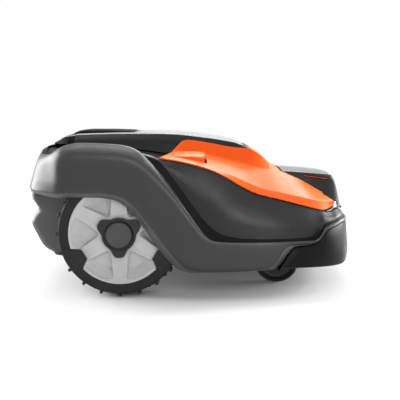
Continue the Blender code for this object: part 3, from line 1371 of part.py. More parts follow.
SCREW_ROD_X = CUTTER_X - UNIT_RADIUS - 0.021
BRACKET_LOW = 0.120
BRACKET_HIGH = 0.132
BRACKET_HALF_WIDTH = 0.014
BRACKET_END = 0.012
BRACKET_ROOT = 0.006
SKID_FOOT = DISC_HEIGHT - SKID_DROP - SKID_WALL
CUTTER_FRAME = Matrix.Translation((CUTTER_X, 0, 0))


def cutting_motor():
    """The motor housing that slides up and down in the well, with the nut bracket on its back."""
    low = DISC_HEIGHT + DISC_THICKNESS + UNIT_TO_DISC
    bore = CUTTER_SHAFT_RADIUS + RUN_GAP
    profile = [(bore, UNIT_TOP), (UNIT_RADIUS - UNIT_CHAMFER, UNIT_TOP),
               (UNIT_RADIUS, UNIT_TOP - UNIT_CHAMFER)]
    profile += [(UNIT_RADIUS + out, low + up) for out, up in UNIT_FOOT] + [(bore, low)]
    obj = turned("cutting_motor", profile, HUB_SIDES, DARK_PLASTIC)
    obj.matrix_world = CUTTER_FRAME
    root = CUTTER_X - UNIT_RADIUS + BRACKET_ROOT
    join_with(obj, box((SCREW_ROD_X - BRACKET_END, -BRACKET_HALF_WIDTH, BRACKET_LOW),
                       (root, BRACKET_HALF_WIDTH, BRACKET_HIGH)), "bracket")
    cut_with(obj, rod((SCREW_ROD_X, 0, BRACKET_LOW - HOLE_REACH), (SCREW_ROD_X, 0, BRACKET_HIGH + HOLE_REACH),
                      SCREW_ROD_RADIUS + RUN_GAP, PIN_SIDES), name="nut")
    smooth_shade(obj)


def cutter_shaft():
    """The shaft through the motor, with a collar that holds the skid plate."""
    foot = SKID_FOOT - RUN_GAP
    obj = place_part("cutter_shaft", rod((0, 0, foot - COLLAR_HEIGHT / 2), (0, 0, UNIT_TOP - UNIT_CHAMFER),
                                         CUTTER_SHAFT_RADIUS), BARE_STEEL, CUTTER_FRAME)
    collar = rod((0, 0, foot - COLLAR_HEIGHT), (0, 0, foot), 2 * CUTTER_SHAFT_RADIUS)
    join_with(obj, collar, "collar").matrix_world = CUTTER_FRAME


def cutting_disc():
    """The disc that carries the blades."""
    hole = CUTTER_SHAFT_RADIUS + TOUCH_GAP
    low, top = DISC_HEIGHT, DISC_HEIGHT + DISC_THICKNESS
    hub = [(radius, top + rise) for radius, rise in DISC_HUB]
    profile = [(hole, hub[0][1]), *hub, (DISC_RADIUS - DISC_EDGE, top), (DISC_RADIUS, top - DISC_EDGE_DROP),
               (DISC_RADIUS, low), (hole, low)]
    obj = turned("cutting_disc", profile, DISC_SIDES, DARK_PLASTIC)
    obj.matrix_world = CUTTER_FRAME
    reach = Vector((0, 0, HOLE_REACH))
    for pivot in blade_pivots():
        cut_with(obj, rod(pivot - reach, pivot + reach, SCREW_RADIUS + TOUCH_GAP, PIN_SIDES),
                 name="screw_hole")
    smooth_shade(obj)


def blade_pivots():
    """Return where the blades turn, at the disc's height."""
    return [Vector((CUTTER_X, 0, DISC_HEIGHT)) + Vector((*polar(BLADE_PIVOT_RADIUS, 360 / BLADES * k), 0))
            for k in range(BLADES)]


def blades():
    """The pivoting razor blades and the screws that hold them."""
    reach, half, corner = BLADE_REACH - BLADE_PIVOT_RADIUS, BLADE_WIDTH / 2, BLADE_CORNER
    outline = mirrored([(-BLADE_HEEL, half - corner), (corner - BLADE_HEEL, half), (reach - corner, half),
                        (reach, half - corner)])
    head = -BLADE_DROP - RUN_GAP
    for k, pivot in enumerate(blade_pivots()):
        frame = Matrix.Translation(pivot) @ Matrix.Rotation(math.radians(360 / BLADES * k), 4, "Z")
        blade = place_part(f"blade_{k + 1}", prism(outline, -BLADE_DROP, BLADE_THICKNESS - BLADE_DROP),
                           BARE_STEEL, frame)
        hole = rod((0, 0, -HOLE_REACH), (0, 0, HOLE_REACH), SCREW_RADIUS + RUN_GAP, PIN_SIDES)
        cut_with(blade, hole, name="hole").matrix_world = frame
        stem = rod((0, 0, head - MM), (0, 0, DISC_THICKNESS), SCREW_RADIUS, PIN_SIDES)
        screw = place_part(f"blade_screw_{k + 1}", stem, BARE_STEEL, frame)
        screw_head = rod((0, 0, head - SCREW_HEAD_HEIGHT), (0, 0, head), SCREW_HEAD_RADIUS, PIN_SIDES)
        join_with(screw, screw_head, "head").matrix_world = frame


def skid_plate():
    """The plate under the disc, free to turn, that keeps the disc off the grass."""
    hole, inside = CUTTER_SHAFT_RADIUS + RUN_GAP, SKID_FOOT + SKID_WALL
    profile = [(hole, inside), (SKID_RADIUS - SKID_DISH, inside)]
    profile += [(SKID_RADIUS + out, SKID_FOOT + up) for out, up in SKID_LIP] + [(hole, SKID_FOOT)]
    obj = turned("skid_plate", profile, DISC_SIDES, DARK_PLASTIC)
    obj.matrix_world = CUTTER_FRAME
    smooth_shade(obj)


# What the chassis holds

HEIGHT_MOTOR_HALF = 0.019
HEIGHT_MOTOR_HEIGHT = 0.026
HEIGHT_MOTOR_BEVEL = 0.003
BATTERY_BACK = TUB_BACK_X + 0.012
BATTERY_FRONT = AXLE_X - MOTOR_RADIUS - 0.007
BATTERY_HALF_WIDTH = 0.112
BATTERY_TOP = 0.148
BATTERY_BEVEL = 0.004
BOARD_BACK = TUB_STEP_X + 0.014
BOARD_FRONT = CASTER_X - BUSH_RADIUS - 0.011
BOARD_HALF_WIDTH = 0.105
BOARD_THICKNESS = 0.0016
CONTACT_Y = 0.042
CONTACT_HALF_WIDTH = 0.013
CONTACT_THICKNESS = 0.003


def chassis_contents():
    """Battery, circuit board, height motor with its lead screw, and charging contacts."""
    floor = TUB_FLOOR + TUB_WALL + TOUCH_GAP
    place_part("battery_pack", box((BATTERY_BACK, -BATTERY_HALF_WIDTH, floor),
                                   (BATTERY_FRONT, BATTERY_HALF_WIDTH, BATTERY_TOP), BATTERY_BEVEL),
               DARK_PLASTIC)
    deck = TUB_FRONT_FLOOR + TUB_WALL + TOUCH_GAP
    place_part("circuit_board", box((BOARD_BACK, -BOARD_HALF_WIDTH, deck),
                                    (BOARD_FRONT, BOARD_HALF_WIDTH, deck + BOARD_THICKNESS)), BOARD_GREEN)
    roof = DOME_TOP - DOME_WALL - TOUCH_GAP
    motor_low, half = roof - HEIGHT_MOTOR_HEIGHT, HEIGHT_MOTOR_HALF
    screw_frame = Matrix.Translation((SCREW_ROD_X, 0, 0))
    place_part("height_motor", box((-half, -half, motor_low), (half, half, roof), HEIGHT_MOTOR_BEVEL),
               BARE_STEEL, screw_frame)
    place_part("lead_screw", rod((0, 0, floor), (0, 0, motor_low - TOUCH_GAP), SCREW_ROD_RADIUS, PIN_SIDES),
               BARE_STEEL, screw_frame)
    back = TUB_NOSE_X + TOUCH_GAP
    low, high = TUB_FRONT_FLOOR + TUB_WALL / 2, TUB_RIM - TUB_WALL / 2
    for name, side in SIDES.items():
        y = side * CONTACT_Y
        place_part(f"charging_contact_{name}", box((back, y - CONTACT_HALF_WIDTH, low),
                                                   (back + CONTACT_THICKNESS, y + CONTACT_HALF_WIDTH, high)),
                   BRASS)


PILLAR_WAIST = 0.65
PILLAR_FLANGE = 0.125


def float_pillars():
    """The rubber pillars that carry the body on the chassis."""
    stands = (("front", FRONT_BOSS, FLANGE_TOP, FRONT_BOSS_FOOT),
              ("rear", REAR_BOSS, DOME_TOP, REAR_BOSS_FOOT))
    for place, (x, y), seat, foot in stands:
        low = seat + TOUCH_GAP
        high = foot + BODY_LIFT - TOUCH_GAP
        waist = BOSS_RADIUS * PILLAR_WAIST
        middle = (low + high) / 2
        step = (high - low) * PILLAR_FLANGE
        for name, side in SIDES.items():
            rings = [(0, high), (BOSS_RADIUS, high), (BOSS_RADIUS, high - step), (waist, middle),
                     (BOSS_RADIUS, low + step), (BOSS_RADIUS, low), (0, low)]
            obj = turned(f"float_pillar_{place}_{name}", rings, PIN_SIDES, BLACK_RUBBER)
            obj.matrix_world = Matrix.Translation((x, side * y, 0))


def build():
    """Model every part of the mower."""
    body_shell()
    top_panel()
    front_bumper()
    nose_cover()
    for side in SIDES.values():
        headlight(side)
    spine_frame()
    hatch()
    hatch_pin()
    stop_button()
    chassis_lower()
    chassis_seal()
    chassis_upper()
    chassis_tail()
    control_console()
    display()
    key("power_button", -1, BLACK_RUBBER)
    key("start_button", 1, ORANGE_PLASTIC)
    rear_wheels()
    wheel_motors()
    for name, side in SIDES.items():
        caster_parts(name, side)
    cutting_motor()
    cutter_shaft()
    cutting_disc()
    blades()
    skid_plate()
    chassis_contents()
    float_pillars()


build()
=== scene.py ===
"""Looks of the robotic lawn mower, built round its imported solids: metres, +X forward, +Y left, +Z up."""
import math

import bmesh
import bpy
import numpy as np
from mathutils import Matrix, Vector

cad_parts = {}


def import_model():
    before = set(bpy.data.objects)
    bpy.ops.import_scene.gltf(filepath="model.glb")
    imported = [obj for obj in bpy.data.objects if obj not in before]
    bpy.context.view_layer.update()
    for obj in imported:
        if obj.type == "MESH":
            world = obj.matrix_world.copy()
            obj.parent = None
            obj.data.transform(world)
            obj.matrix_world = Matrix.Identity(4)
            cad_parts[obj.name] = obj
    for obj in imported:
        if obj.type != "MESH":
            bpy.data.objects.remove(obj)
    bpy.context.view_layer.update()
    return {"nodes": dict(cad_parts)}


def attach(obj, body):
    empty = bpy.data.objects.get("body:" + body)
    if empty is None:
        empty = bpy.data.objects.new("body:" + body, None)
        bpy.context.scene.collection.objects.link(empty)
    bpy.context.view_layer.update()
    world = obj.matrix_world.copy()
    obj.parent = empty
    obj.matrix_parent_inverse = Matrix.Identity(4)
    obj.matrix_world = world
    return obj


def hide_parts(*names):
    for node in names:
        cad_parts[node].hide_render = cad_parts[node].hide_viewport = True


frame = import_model()
NODES = frame["nodes"]

MM = 0.001
MERGE = 0.00004
BODY_LIFT = 0.004
FILLET_SHARE, OUTLINE_SHARE = 0.46, 0.48
SIDES = {"right": -1, "left": 1}


# Body lines, drawn in millimetres against the place along the body

def smooth_curve(*knots):
    """Return a function through knots in millimetres, flat at both ends and with no overshoot."""
    place, value = np.array(knots, dtype=float).T * MM
    step = np.diff(place)
    slope = np.diff(value) / step
    tangent = np.zeros(len(place))
    for i in range(1, len(place) - 1):
        if slope[i - 1] * slope[i] > 0:
            before = 2 * step[i] + step[i - 1]
            after = step[i] + 2 * step[i - 1]
            tangent[i] = (before + after) / (before / slope[i - 1] + after / slope[i])

    def at(where):
        i = int(np.clip(np.searchsorted(place, where) - 1, 0, len(step) - 1))
        t = min(max((where - place[i]) / step[i], 0.0), 1.0)
        return ((1 + 2 * t) * (1 - t) ** 2 * value[i] + t * (1 - t) ** 2 * step[i] * tangent[i]
                + t * t * (3 - 2 * t) * value[i + 1] + t * t * (t - 1) * step[i] * tangent[i + 1])

    return at


# Plan of the body: outer edge x and y, then the edge of the opening in its deck, x and y
BODY_PLAN = (
    (-360, 0, -298, 0), (-355, 150, -296, 70), (-338, 226, -288, 112), (-291, 268, -268, 119),
    (-268, 278.5, -258, 120), (-240, 280, -240, 120), (-180, 280, -180, 120), (-110, 280, -110, 120),
    (-60, 280, -60, 120), (0, 280, 0, 120), (120, 272, 120, 118), (200, 257, 197, 76),
    (262, 234, 256, 74), (312, 190, 294, 66), (338, 110, 314, 46), (356, 0, 322, 0),
)
ARCH_EDGE_Z = smooth_curve(
    (-360, 211), (-338, 209.5), (-285, 204), (-190, 202), (-160, 197), (-139, 184), (-122, 165), (-60, 79),
    (-35, 57), (-8, 51), (150, 55), (162, 58), (168, 64), (190, 94), (198, 100), (240, 104.5), (252, 110),
    (266, 128), (291, 135), (310, 139), (338, 133), (356, 128)
)
ARCH_LIP_Z = smooth_curve(
    (-360, 216), (-338, 215.5), (-285, 214), (-190, 214), (-155, 209), (-128, 193), (-95, 152), (-48, 90),
    (-20, 62), (10, 55), (138, 57), (148, 61), (184, 104), (190, 105.5), (240, 106.5), (252, 112),
    (266, 130), (291, 137), (310, 141), (338, 135), (356, 130)
)
BAND_Z = smooth_curve(
    (-360, 232), (-190, 232), (-150, 225), (-125, 204), (-60, 118), (-25, 74), (10, 61), (138, 61),
    (148, 64), (184, 106), (190, 107), (240, 108), (252, 114), (266, 131.5), (291, 138.5), (310, 142.5),
    (338, 136.5), (356, 131.5)
)
FACE_TOP_Z = smooth_curve(
    (-360, 262), (-330, 271), (-285, 287), (-229, 291), (-180, 290), (-138, 285), (-112, 275), (-90, 257),
    (-42, 204), (-2, 148), (15, 127), (40, 116), (86, 113), (190, 111.5), (240, 109.5), (252, 116),
    (264, 132.5), (291, 141), (310, 145), (338, 139), (356, 134.5)
)
CREST_Z = smooth_curve(
    (-360, 291), (-330, 284), (-300, 288), (-278, 302), (-256, 311), (-231, 315), (-165, 312), (-138, 308),
    (-118, 299), (-92, 275), (-53, 229), (-10, 168), (12, 137), (30, 120), (52, 116), (86, 114.5),
    (190, 113), (240, 112), (252, 119), (264, 135.5), (291, 143), (310, 147), (338, 141), (356, 137)
)
VALLEY_Z = smooth_curve(
    (-360, 295), (-330, 284), (-300, 281), (-231, 292), (-140, 290), (-112, 284), (-92, 266), (-53, 222),
    (-10, 160), (12, 130), (30, 115), (52, 111.5), (86, 110), (190, 109.5), (240, 109.5), (252, 116.5),
    (264, 133), (291, 141.5), (310, 145.5), (338, 140), (356, 137)
)
FLANK_FOOT_Z = smooth_curve(
    (-360, 297), (-330, 286), (-300, 283), (-231, 292.5), (-140, 290.5), (-110, 285), (-76, 271),
    (-53, 244), (-23, 204), (7, 162), (21, 146), (37, 132), (63, 121), (107, 115), (190, 113), (240, 114),
    (252, 121), (264, 137.5), (291, 145), (310, 149), (338, 143.5), (356, 140)
)
FLANK_TOP_Z = smooth_curve(
    (-360, 298), (-330, 287), (-300, 284), (-231, 292), (-140, 290), (-100, 284), (-74, 276), (-34, 269),
    (7, 259), (31, 251), (57, 239), (94, 217), (124, 203), (159, 194), (220, 177), (255, 167), (286, 160),
    (300, 163), (312, 163.5), (325, 157), (338, 150), (356, 147)
)
DECK_Z = smooth_curve(
    (-360, 291), (-300, 287), (-231, 290), (-140, 287), (-60, 277), (0, 270), (60, 255), (120, 236),
    (200, 203), (262, 176), (312, 149), (356, 141)
)

# Inset of the same lines from the outer edge of the plan
ARCH_EDGE_IN = smooth_curve(
    (-360, 4), (-275, 4), (-250, 14), (-230, 15), (-60, 15), (10, 12), (150, 8), (260, 6), (300, 10),
    (356, 13)
)
ARCH_LIP_IN = smooth_curve((-360, 0), (-330, 2), (-230, 3), (10, 3), (260, 2), (300, 7), (356, 11))
BAND_IN = smooth_curve(
    (-360, 7.5), (-330, 7), (-300, 5.8), (-285, 4.2), (-268, 1.8), (-250, 0.5), (262, 0), (300, 6),
    (356, 12)
)
FACE_TOP_IN = smooth_curve(
    (-360, 24), (-330, 21), (-300, 17), (-282, 11), (-262, 5), (-240, 3), (0, 1), (240, 0), (286, 6),
    (356, 15)
)
CREST_IN = smooth_curve(
    (-360, 39), (-330, 38), (-285, 36), (-231, 35), (-140, 35), (-90, 26), (-30, 14), (20, 6), (60, 4),
    (240, 4), (286, 9), (356, 18)
)
VALLEY_IN = smooth_curve(
    (-360, 50), (-300, 56), (-231, 62), (-140, 60), (-90, 44), (-30, 29), (20, 22), (60, 19), (240, 16),
    (286, 16), (356, 22)
)
FLANK_FOOT_IN = smooth_curve(
    (-360, 54), (-300, 62), (-231, 68), (-140, 66), (-90, 52), (-30, 36), (20, 27), (60, 22), (240, 19),
    (286, 19), (356, 25)
)
FLANK_TOP_IN = smooth_curve(
    (-360, 57), (-300, 70), (-231, 90), (-140, 86), (-74, 56), (0, 52), (100, 47), (200, 42), (262, 38),
    (300, 42), (316, 43), (338, 36), (356, 33)
)
FLANK_BULGE = smooth_curve((-120, 0), (-40, 5), (60, 12), (200, 9), (290, 4), (356, 1))
REBATE_IN = 0.0025
REBATE_DROP = 0.0060

# Ridge, orange panel, nose and bumper
RIDGE_Z = smooth_curve(
    (-318, 303), (-304, 310), (-289, 316), (-270, 319), (-214, 321), (-170, 322), (-81, 322), (-37, 320),
    (7, 315), (51, 309), (84, 302), (106, 293), (118, 288)
)
RIDGE_TAPER = smooth_curve((-318, 0.70), (-304, 0.84), (-289, 0.95), (-270, 1.0), (118, 1.0))
PANEL_CREST_Z = smooth_curve(
    (-75, 279), (-34, 274), (17, 262), (69, 243), (110, 224), (135, 214), (194, 200), (246, 188),
    (270, 183), (285, 182), (302, 182)
)
PANEL_CREASE_Z = smooth_curve(
    (-75, 280), (-45, 284), (-15, 282), (18, 277), (50, 270), (105, 257), (137, 249), (170, 244),
    (190, 238), (230, 219), (264, 196), (287, 187), (302, 185)
)
PANEL_TOP_Z = smooth_curve(
    (-75, 281), (-52, 285), (-32, 306), (-22, 309), (29, 302), (72, 294), (119, 288), (128, 283),
    (142, 274), (159, 259), (178, 244), (190, 238), (230, 221), (264, 203.5), (287, 193), (302, 188)
)
PANEL_TIP_LIFT = smooth_curve((258, 0), (272, 2.5), (284, 7), (294, 11), (300, 15))
CREASE_MARGIN = smooth_curve((-75, 12), (120, 12), (200, 26), (256, 22), (302, 16))
TOP_MARGIN = smooth_curve((-75, -3), (100, -3), (120, -3), (190, 9), (256, 11), (302, 10))
BUMPER_FOOT_Z = smooth_curve((166, 57), (218, 56), (270, 53), (320, 50), (356, 49))
BUMPER_BULGE = smooth_curve((166, 0), (230, 0), (300, 2), (340, 3), (356, 4))
NOSE_TOP_Z = smooth_curve(
    (194, 236), (230, 234), (280, 230), (306, 226), (314, 217), (324, 189), (335, 153)
)
NOSE_FOOT_Z = smooth_curve((194, 198), (256, 174), (290, 160), (302, 153), (335, 149.5))
NOSE_HALF = smooth_curve((194, 81), (250, 80), (290, 73), (320, 62), (335, 54))
STOP_TOP_Z = smooth_curve(
    (-284, 321), (-270, 326), (-245, 328), (-200, 328), (-165, 327), (-148, 326), (-142, 324.5)
)


def plan_curves():
    """Return the plan's outer and inner edges as functions of the way round from the back."""
    plan = np.array(BODY_PLAN, dtype=float)
    way = np.concatenate(([0], np.cumsum(np.hypot(*np.diff(plan[:, :2], axis=0).T))))
    return way[-1] * MM, [smooth_curve(*zip(way, column)) for column in plan.T]


PLAN_LENGTH, PLAN_COORDINATES = plan_curves()


def plan_at(way):
    """Return the place along the body, and the outer and inner points of the plan, right side."""
    outer_x, outer_y, inner_x, inner_y = (curve(way) for curve in PLAN_COORDINATES)
    return outer_x, Vector((outer_x, -outer_y, 0)), Vector((inner_x, -inner_y, 0))


def way_at(place):
    """Return the way round the plan at a place along the body."""
    low, high = 0.0, PLAN_LENGTH
    for _ in range(40):
        middle = (low + high) / 2
        if PLAN_COORDINATES[0](middle) < place:
            low = middle
        else:
            high = middle
    return (low + high) / 2


def inset_point(outer, inner, inset, height):
    """Return the point that lies a given way in from the plan's outer edge."""
    point = outer + (inner - outer).normalized() * inset
    return Vector((point.x, point.y, height + BODY_LIFT))


def steps_between(start, end, count):
    """Return evenly spaced values from start to end."""
    return [start + (end - start) * i / count for i in range(count + 1)]


# Mesh helpers

def mesh_of(name, bm):
    """Turn a bmesh into a mesh."""
    mesh = bpy.data.meshes.new(name)
    bm.to_mesh(mesh)
    bm.free()
    return mesh


def linked(name, data):
    """Put an object with this data in the scene."""
    obj = bpy.data.objects.new(name, data)
    bpy.context.scene.collection.objects.link(obj)
    return obj


def put(name, bm, material, body, *replaced):
    """Turn a bmesh into a piece that rides on a body and stands for CAD nodes."""
    return put_mesh(name, mesh_of(name, bm), material, body, *replaced)


def put_mesh(name, mesh, material, body, *replaced):
    """Put a mesh in the scene as a piece that rides on a body and stands for CAD nodes."""
    obj = linked(name, mesh)
    if mesh.materials:
        mesh.materials.clear()
    mesh.materials.append(material)
    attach(obj, body)
    if replaced:
        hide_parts(*replaced)
    return obj


def smooth(obj, angle=30):
    """Shade a piece smooth, apart from its sharp edges."""
    obj.data.shade_smooth()
    obj.data.set_sharp_from_angle(angle=math.radians(angle))


def settled(obj):
    """Apply a piece's modifiers to its mesh, and remove the cutters that they used."""
    cutters = [m.object for m in obj.modifiers if m.type == "BOOLEAN"]
    bpy.context.view_layer.update()
    mesh = bpy.data.meshes.new_from_object(obj.evaluated_get(bpy.context.evaluated_depsgraph_get()))
    obj.modifiers.clear()
    obj.data = mesh
    for cutter in cutters:
        bpy.data.objects.remove(cutter, do_unlink=True)
    return obj


def carve(obj, bm, operation="DIFFERENCE"):
    """Cut a piece with a bmesh, or join the bmesh to it, when the piece is settled."""
    cutter = linked("cutter", mesh_of("cutter", bm))
    cutter.matrix_world = obj.matrix_world
    cutter.hide_render = True
    modifier = obj.modifiers.new("carve", "BOOLEAN")
    modifier.operation = operation
    modifier.solver = "EXACT"
    modifier.object = cutter


def at_height(outline, z):
    """Return a plan outline at a height."""
    return [Vector((p[0], p[1], z)) for p in outline]


def thicken(obj, wall):
    """Give a surface a wall behind its face."""
    modifier = obj.modifiers.new("wall", "SOLIDIFY")
    modifier.thickness = wall
    modifier.offset = -1.0
    modifier.use_even_offset = True


def soften(obj, width, segments, angle=35):
    """Round a piece's sharp edges."""
    modifier = obj.modifiers.new("soften", "BEVEL")
    modifier.width = width
    modifier.segments = segments
    modifier.limit_method = "ANGLE"
    modifier.angle_limit = math.radians(angle)
    modifier.harden_normals = True
    modifier.use_clamp_overlap = True


def sheet(rows, bm=None, closed=False):
    """Return a surface through rows of points, each row one section."""
    bm = bm or bmesh.new()
    grid = [[bm.verts.new(point) for point in row] for row in rows]
    for row, after in zip(grid, grid[1:]):
        for j in range(len(row) - (0 if closed else 1)):
            k = (j + 1) % len(row)
            bm.faces.new((row[j], after[j], after[k], row[k]))
    return bm


def weld(bm):
    """Merge points that fall together, and drop faces with no area."""
    bmesh.ops.remove_doubles(bm, verts=bm.verts[:], dist=MERGE)
    bmesh.ops.dissolve_degenerate(bm, edges=bm.edges[:], dist=MERGE)


def both_halves(name, bm, material, body, node, wall):
    """Put half a surface in the scene as a piece with both halves and a wall behind its face."""
    weld(bm)
    obj = put(name, bm, material, body, node)
    modifier = obj.modifiers.new("mirror", "MIRROR")
    modifier.use_axis = (False, True, False)
    modifier.merge_threshold = MERGE
    thicken(obj, wall)
    return obj


def capped(rows):
    """Return rows with one more at each end, level with the foot, that closes the end."""
    back, front = (at_height(row, row[0].z) for row in (rows[0], rows[-1]))
    return [back, *rows, front]


def merged(parts, bm=None):
    """Return closed parts as one bmesh, added to another where one is given."""
    bm = bm or bmesh.new()
    for part in parts:
        bm.from_mesh(mesh_of("part", part))
    return bm


def arc(start, corner, end, count):
    """Return the points of an arc from start to end that bends towards a corner."""
    return [start * (1 - t) ** 2 + corner * 2 * t * (1 - t) + end * t * t
            for t in steps_between(0.0, 1.0, count)]


def filleted(points, radii, segments):
    """Round the corners of a line: each inner corner with its own reach and number of segments."""
    line = [points[0]]
    for before, corner, after, radius, count in zip(points, points[1:], points[2:], radii, segments):
        if not count:
            line.append(corner)
            continue
        reach_in = min(radius, FILLET_SHARE * (corner - before).length)
        reach_out = min(radius, FILLET_SHARE * (after - corner).length)
        start = corner + (before - corner).normalized() * reach_in
        end = corner + (after - corner).normalized() * reach_out
        line += arc(start, corner, end, count)
    return line + [points[-1]]


def polar(radius, degrees, z=0.0):
    """Return a point from its radius, angle and height."""
    turn = math.radians(degrees)
    return Vector((radius * math.cos(turn), radius * math.sin(turn), z))


def turned(profile, steps, closed=True):
    """Return a surface turned about Z from a profile of radius and height."""
    rows = [[polar(radius, 360 * i / steps, z) for radius, z in profile] for i in range(steps + 1)]
    bm = sheet(rows, closed=closed)
    weld(bm)
    bmesh.ops.recalc_face_normals(bm, faces=bm.faces[:])
    return bm


def rounded_profile(half, radii, segments):
    """Return a profile of radius and height, with rounded corners, from its upper half."""
    upper = filleted([Vector(p) for p in half], radii, segments)
    return [(p.x, p.y) for p in upper] + [(p.x, -p.y) for p in reversed(upper[1:-1])]


def stacked(outlines):
    """Return a closed solid through outlines that lie one above the other."""
    bm = sheet([[*row, row[0]] for row in outlines])
    weld(bm)
    bmesh.ops.holes_fill(bm, edges=[e for e in bm.edges if e.is_boundary], sides=0)
    bmesh.ops.recalc_face_normals(bm, faces=bm.faces[:])
    return bm


def rounded_outline(corners, radius, segments=5):
    """Return a closed plan outline of x and y with rounded corners."""
    line = []
    count = len(corners)
    for i in range(count):
        before, corner, after = (Vector(corners[(i + k) % count]) for k in (-1, 0, 1))
        shorter = min((corner - before).length, (after - corner).length)
        reach = min(radius, OUTLINE_SHARE * shorter)
        start = corner + (before - corner).normalized() * reach
        end = corner + (after - corner).normalized() * reach
        line += arc(start, corner, end, segments)
    return line


def prism(outline, low, high):
    """Return a plan outline raised between two heights."""
    return stacked([at_height(outline, z) for z in (low, high)])


def box_outline(x0, x1, half):
    """Return the corners of a box in plan, the same on both sides."""
    return [(x0, -half), (x1, -half), (x1, half), (x0, half)]


def rod(start, end, radius, sides):
    """Return a round bar between two points."""
    start, end = Vector(start), Vector(end)
    way = end - start
    turn = Vector((0, 0, 1)).rotation_difference(way).to_matrix().to_4x4()
    bm = bmesh.new()
    bmesh.ops.create_cone(bm, cap_ends=True, segments=sides, radius1=radius, radius2=radius,
                          depth=way.length, matrix=Matrix.Translation((start + end) / 2) @ turn)
    return bm


# Materials

NOISE_ROUGHNESS = 0.55


class Nodes:
    """A small helper that adds and links shader nodes."""

    def __init__(self, material):
        self.tree = material.node_tree
        self.shader = self.tree.nodes["Principled BSDF"]

    def add(self, kind, **inputs):
        """Add a node, and set or link its inputs by name; spaces in names are written as underscores."""
        node = self.tree.nodes.new(kind)
        for name, value in inputs.items():
            self.feed(node, name.replace("_", " "), value)
        return node

    def wire(self, socket, value):
        """Set or link one input."""
        if isinstance(value, bpy.types.NodeSocket):
            self.tree.links.new(value, socket)
        else:
            socket.default_value = value

    def feed(self, node, name, value):
        """Set or link one input of a node by its name."""
        self.wire(node.inputs[name], value)

    def noise(self, where, scale, detail=3.0):
        """Return a noise factor."""
        return self.add("ShaderNodeTexNoise", Vector=where, Scale=scale, Detail=detail,
                        Roughness=NOISE_ROUGHNESS).outputs["Fac"]

    def ramp(self, value, low, high, start=0.0, end=1.0):
        """Return a value moved from one range to another, and kept in it."""
        node = self.tree.nodes.new("ShaderNodeMapRange")
        for i, v in enumerate((value, low, high, start, end)):
            self.feed(node, node.inputs[i].name, v)
        return node.outputs["Result"]

    def math(self, operation, a, b):
        """Return the result of a sum on two values."""
        node = self.tree.nodes.new("ShaderNodeMath")
        node.operation = operation
        for socket, value in zip(node.inputs, (a, b)):
            self.wire(socket, value)
        return node.outputs[0]

    def blend(self, factor, a, b):
        """Return a mix of two colours."""
        node = self.tree.nodes.new("ShaderNodeMix")
        node.data_type = "RGBA"
        for name, value in (("Factor_Float", factor), ("A_Color", a), ("B_Color", b)):
            self.wire(next(s for s in node.inputs if s.identifier == name), value)
        return next(s for s in node.outputs if s.identifier == "Result_Color")

    def mix(self, factor, a, b):
        """Return a mix of two shaders."""
        node = self.tree.nodes.new("ShaderNodeMixShader")
        for socket, value in zip(node.inputs, (factor, a, b)):
            self.wire(socket, value)
        return node.outputs[0]


def shade(colour, share):
    """Return a colour made lighter or darker, with its alpha."""
    return (*(min(c * share, 1.0) for c in colour), 1.0)


BROAD_SCALE, RUB_SCALE, GLOSS_SCALE = 14.0, 60.0, 38.0
NOISE_LOW, NOISE_HIGH, SPECKLE_SHADE, BUMP_STRENGTH, PIT_SHARE = 0.3, 0.7, 1.6, 0.6, 0.6
EDGE_LOW, EDGE_HIGH, RUBBED_SHADE, COAT_ROUGHNESS = 0.53, 0.62, 1.9, 0.05


def finish_of(name, colour, roughness, grain=900, depth=0.00012, mottle=0.07, vary=0.07, wear=0.35,
              metallic=0.0, specular=0.5, coat=0.0, tint=(1.0, 1.0, 1.0), sheen=0.0, streaks=None,
              pits=False):
    """Return a moulded or machined finish: mottled colour, grain, uneven gloss and worn edges."""
    made = bpy.data.materials.new(name)
    made.use_nodes = True
    made.diffuse_color = (*colour, 1.0)
    n = Nodes(made)
    where = n.add("ShaderNodeTexCoord").outputs["Object"]
    if streaks:
        where = n.add("ShaderNodeMapping", Vector=where, Scale=streaks).outputs["Vector"]
    broad = n.noise(where, BROAD_SCALE, 4.0)
    fine = n.noise(where, grain, 2.0)
    patches = n.ramp(broad, NOISE_LOW, NOISE_HIGH)
    base = n.blend(patches, shade(colour, 1 - mottle), shade(colour, 1 + mottle))
    speckle = n.ramp(fine, 0.35, 0.75, 0.0, 0.5)
    base = n.blend(speckle, base, shade(colour, 1 + SPECKLE_SHADE * mottle))
    edge = n.add("ShaderNodeNewGeometry").outputs["Pointiness"]
    worn = n.ramp(edge, EDGE_LOW, EDGE_HIGH, 0.0, wear)
    rubbed = n.math("MULTIPLY", worn, n.ramp(n.noise(where, RUB_SCALE), 0.3, 0.6))
    base = n.blend(rubbed, base, shade(colour, RUBBED_SHADE))
    n.feed(n.shader, "Base Color", base)
    uneven = n.noise(where, GLOSS_SCALE, 5.0)
    gloss = n.ramp(uneven, NOISE_LOW, NOISE_HIGH, roughness - vary, roughness + vary)
    tint = (*tint, 1.0)
    for socket, value in (("Roughness", gloss), ("Metallic", metallic), ("Specular IOR Level", specular),
                          ("Specular Tint", tint), ("Sheen Weight", sheen), ("Sheen Tint", tint),
                          ("Coat Weight", coat), ("Coat Roughness", COAT_ROUGHNESS)):
        n.feed(n.shader, socket, value)
    height = fine
    if pits:
        height = n.add("ShaderNodeTexVoronoi", Vector=where, Scale=grain * PIT_SHARE).outputs["Distance"]
    bump = n.add("ShaderNodeBump", Height=height, Distance=depth, Strength=BUMP_STRENGTH)
    n.feed(n.shader, "Normal", bump.outputs["Normal"])
    return made


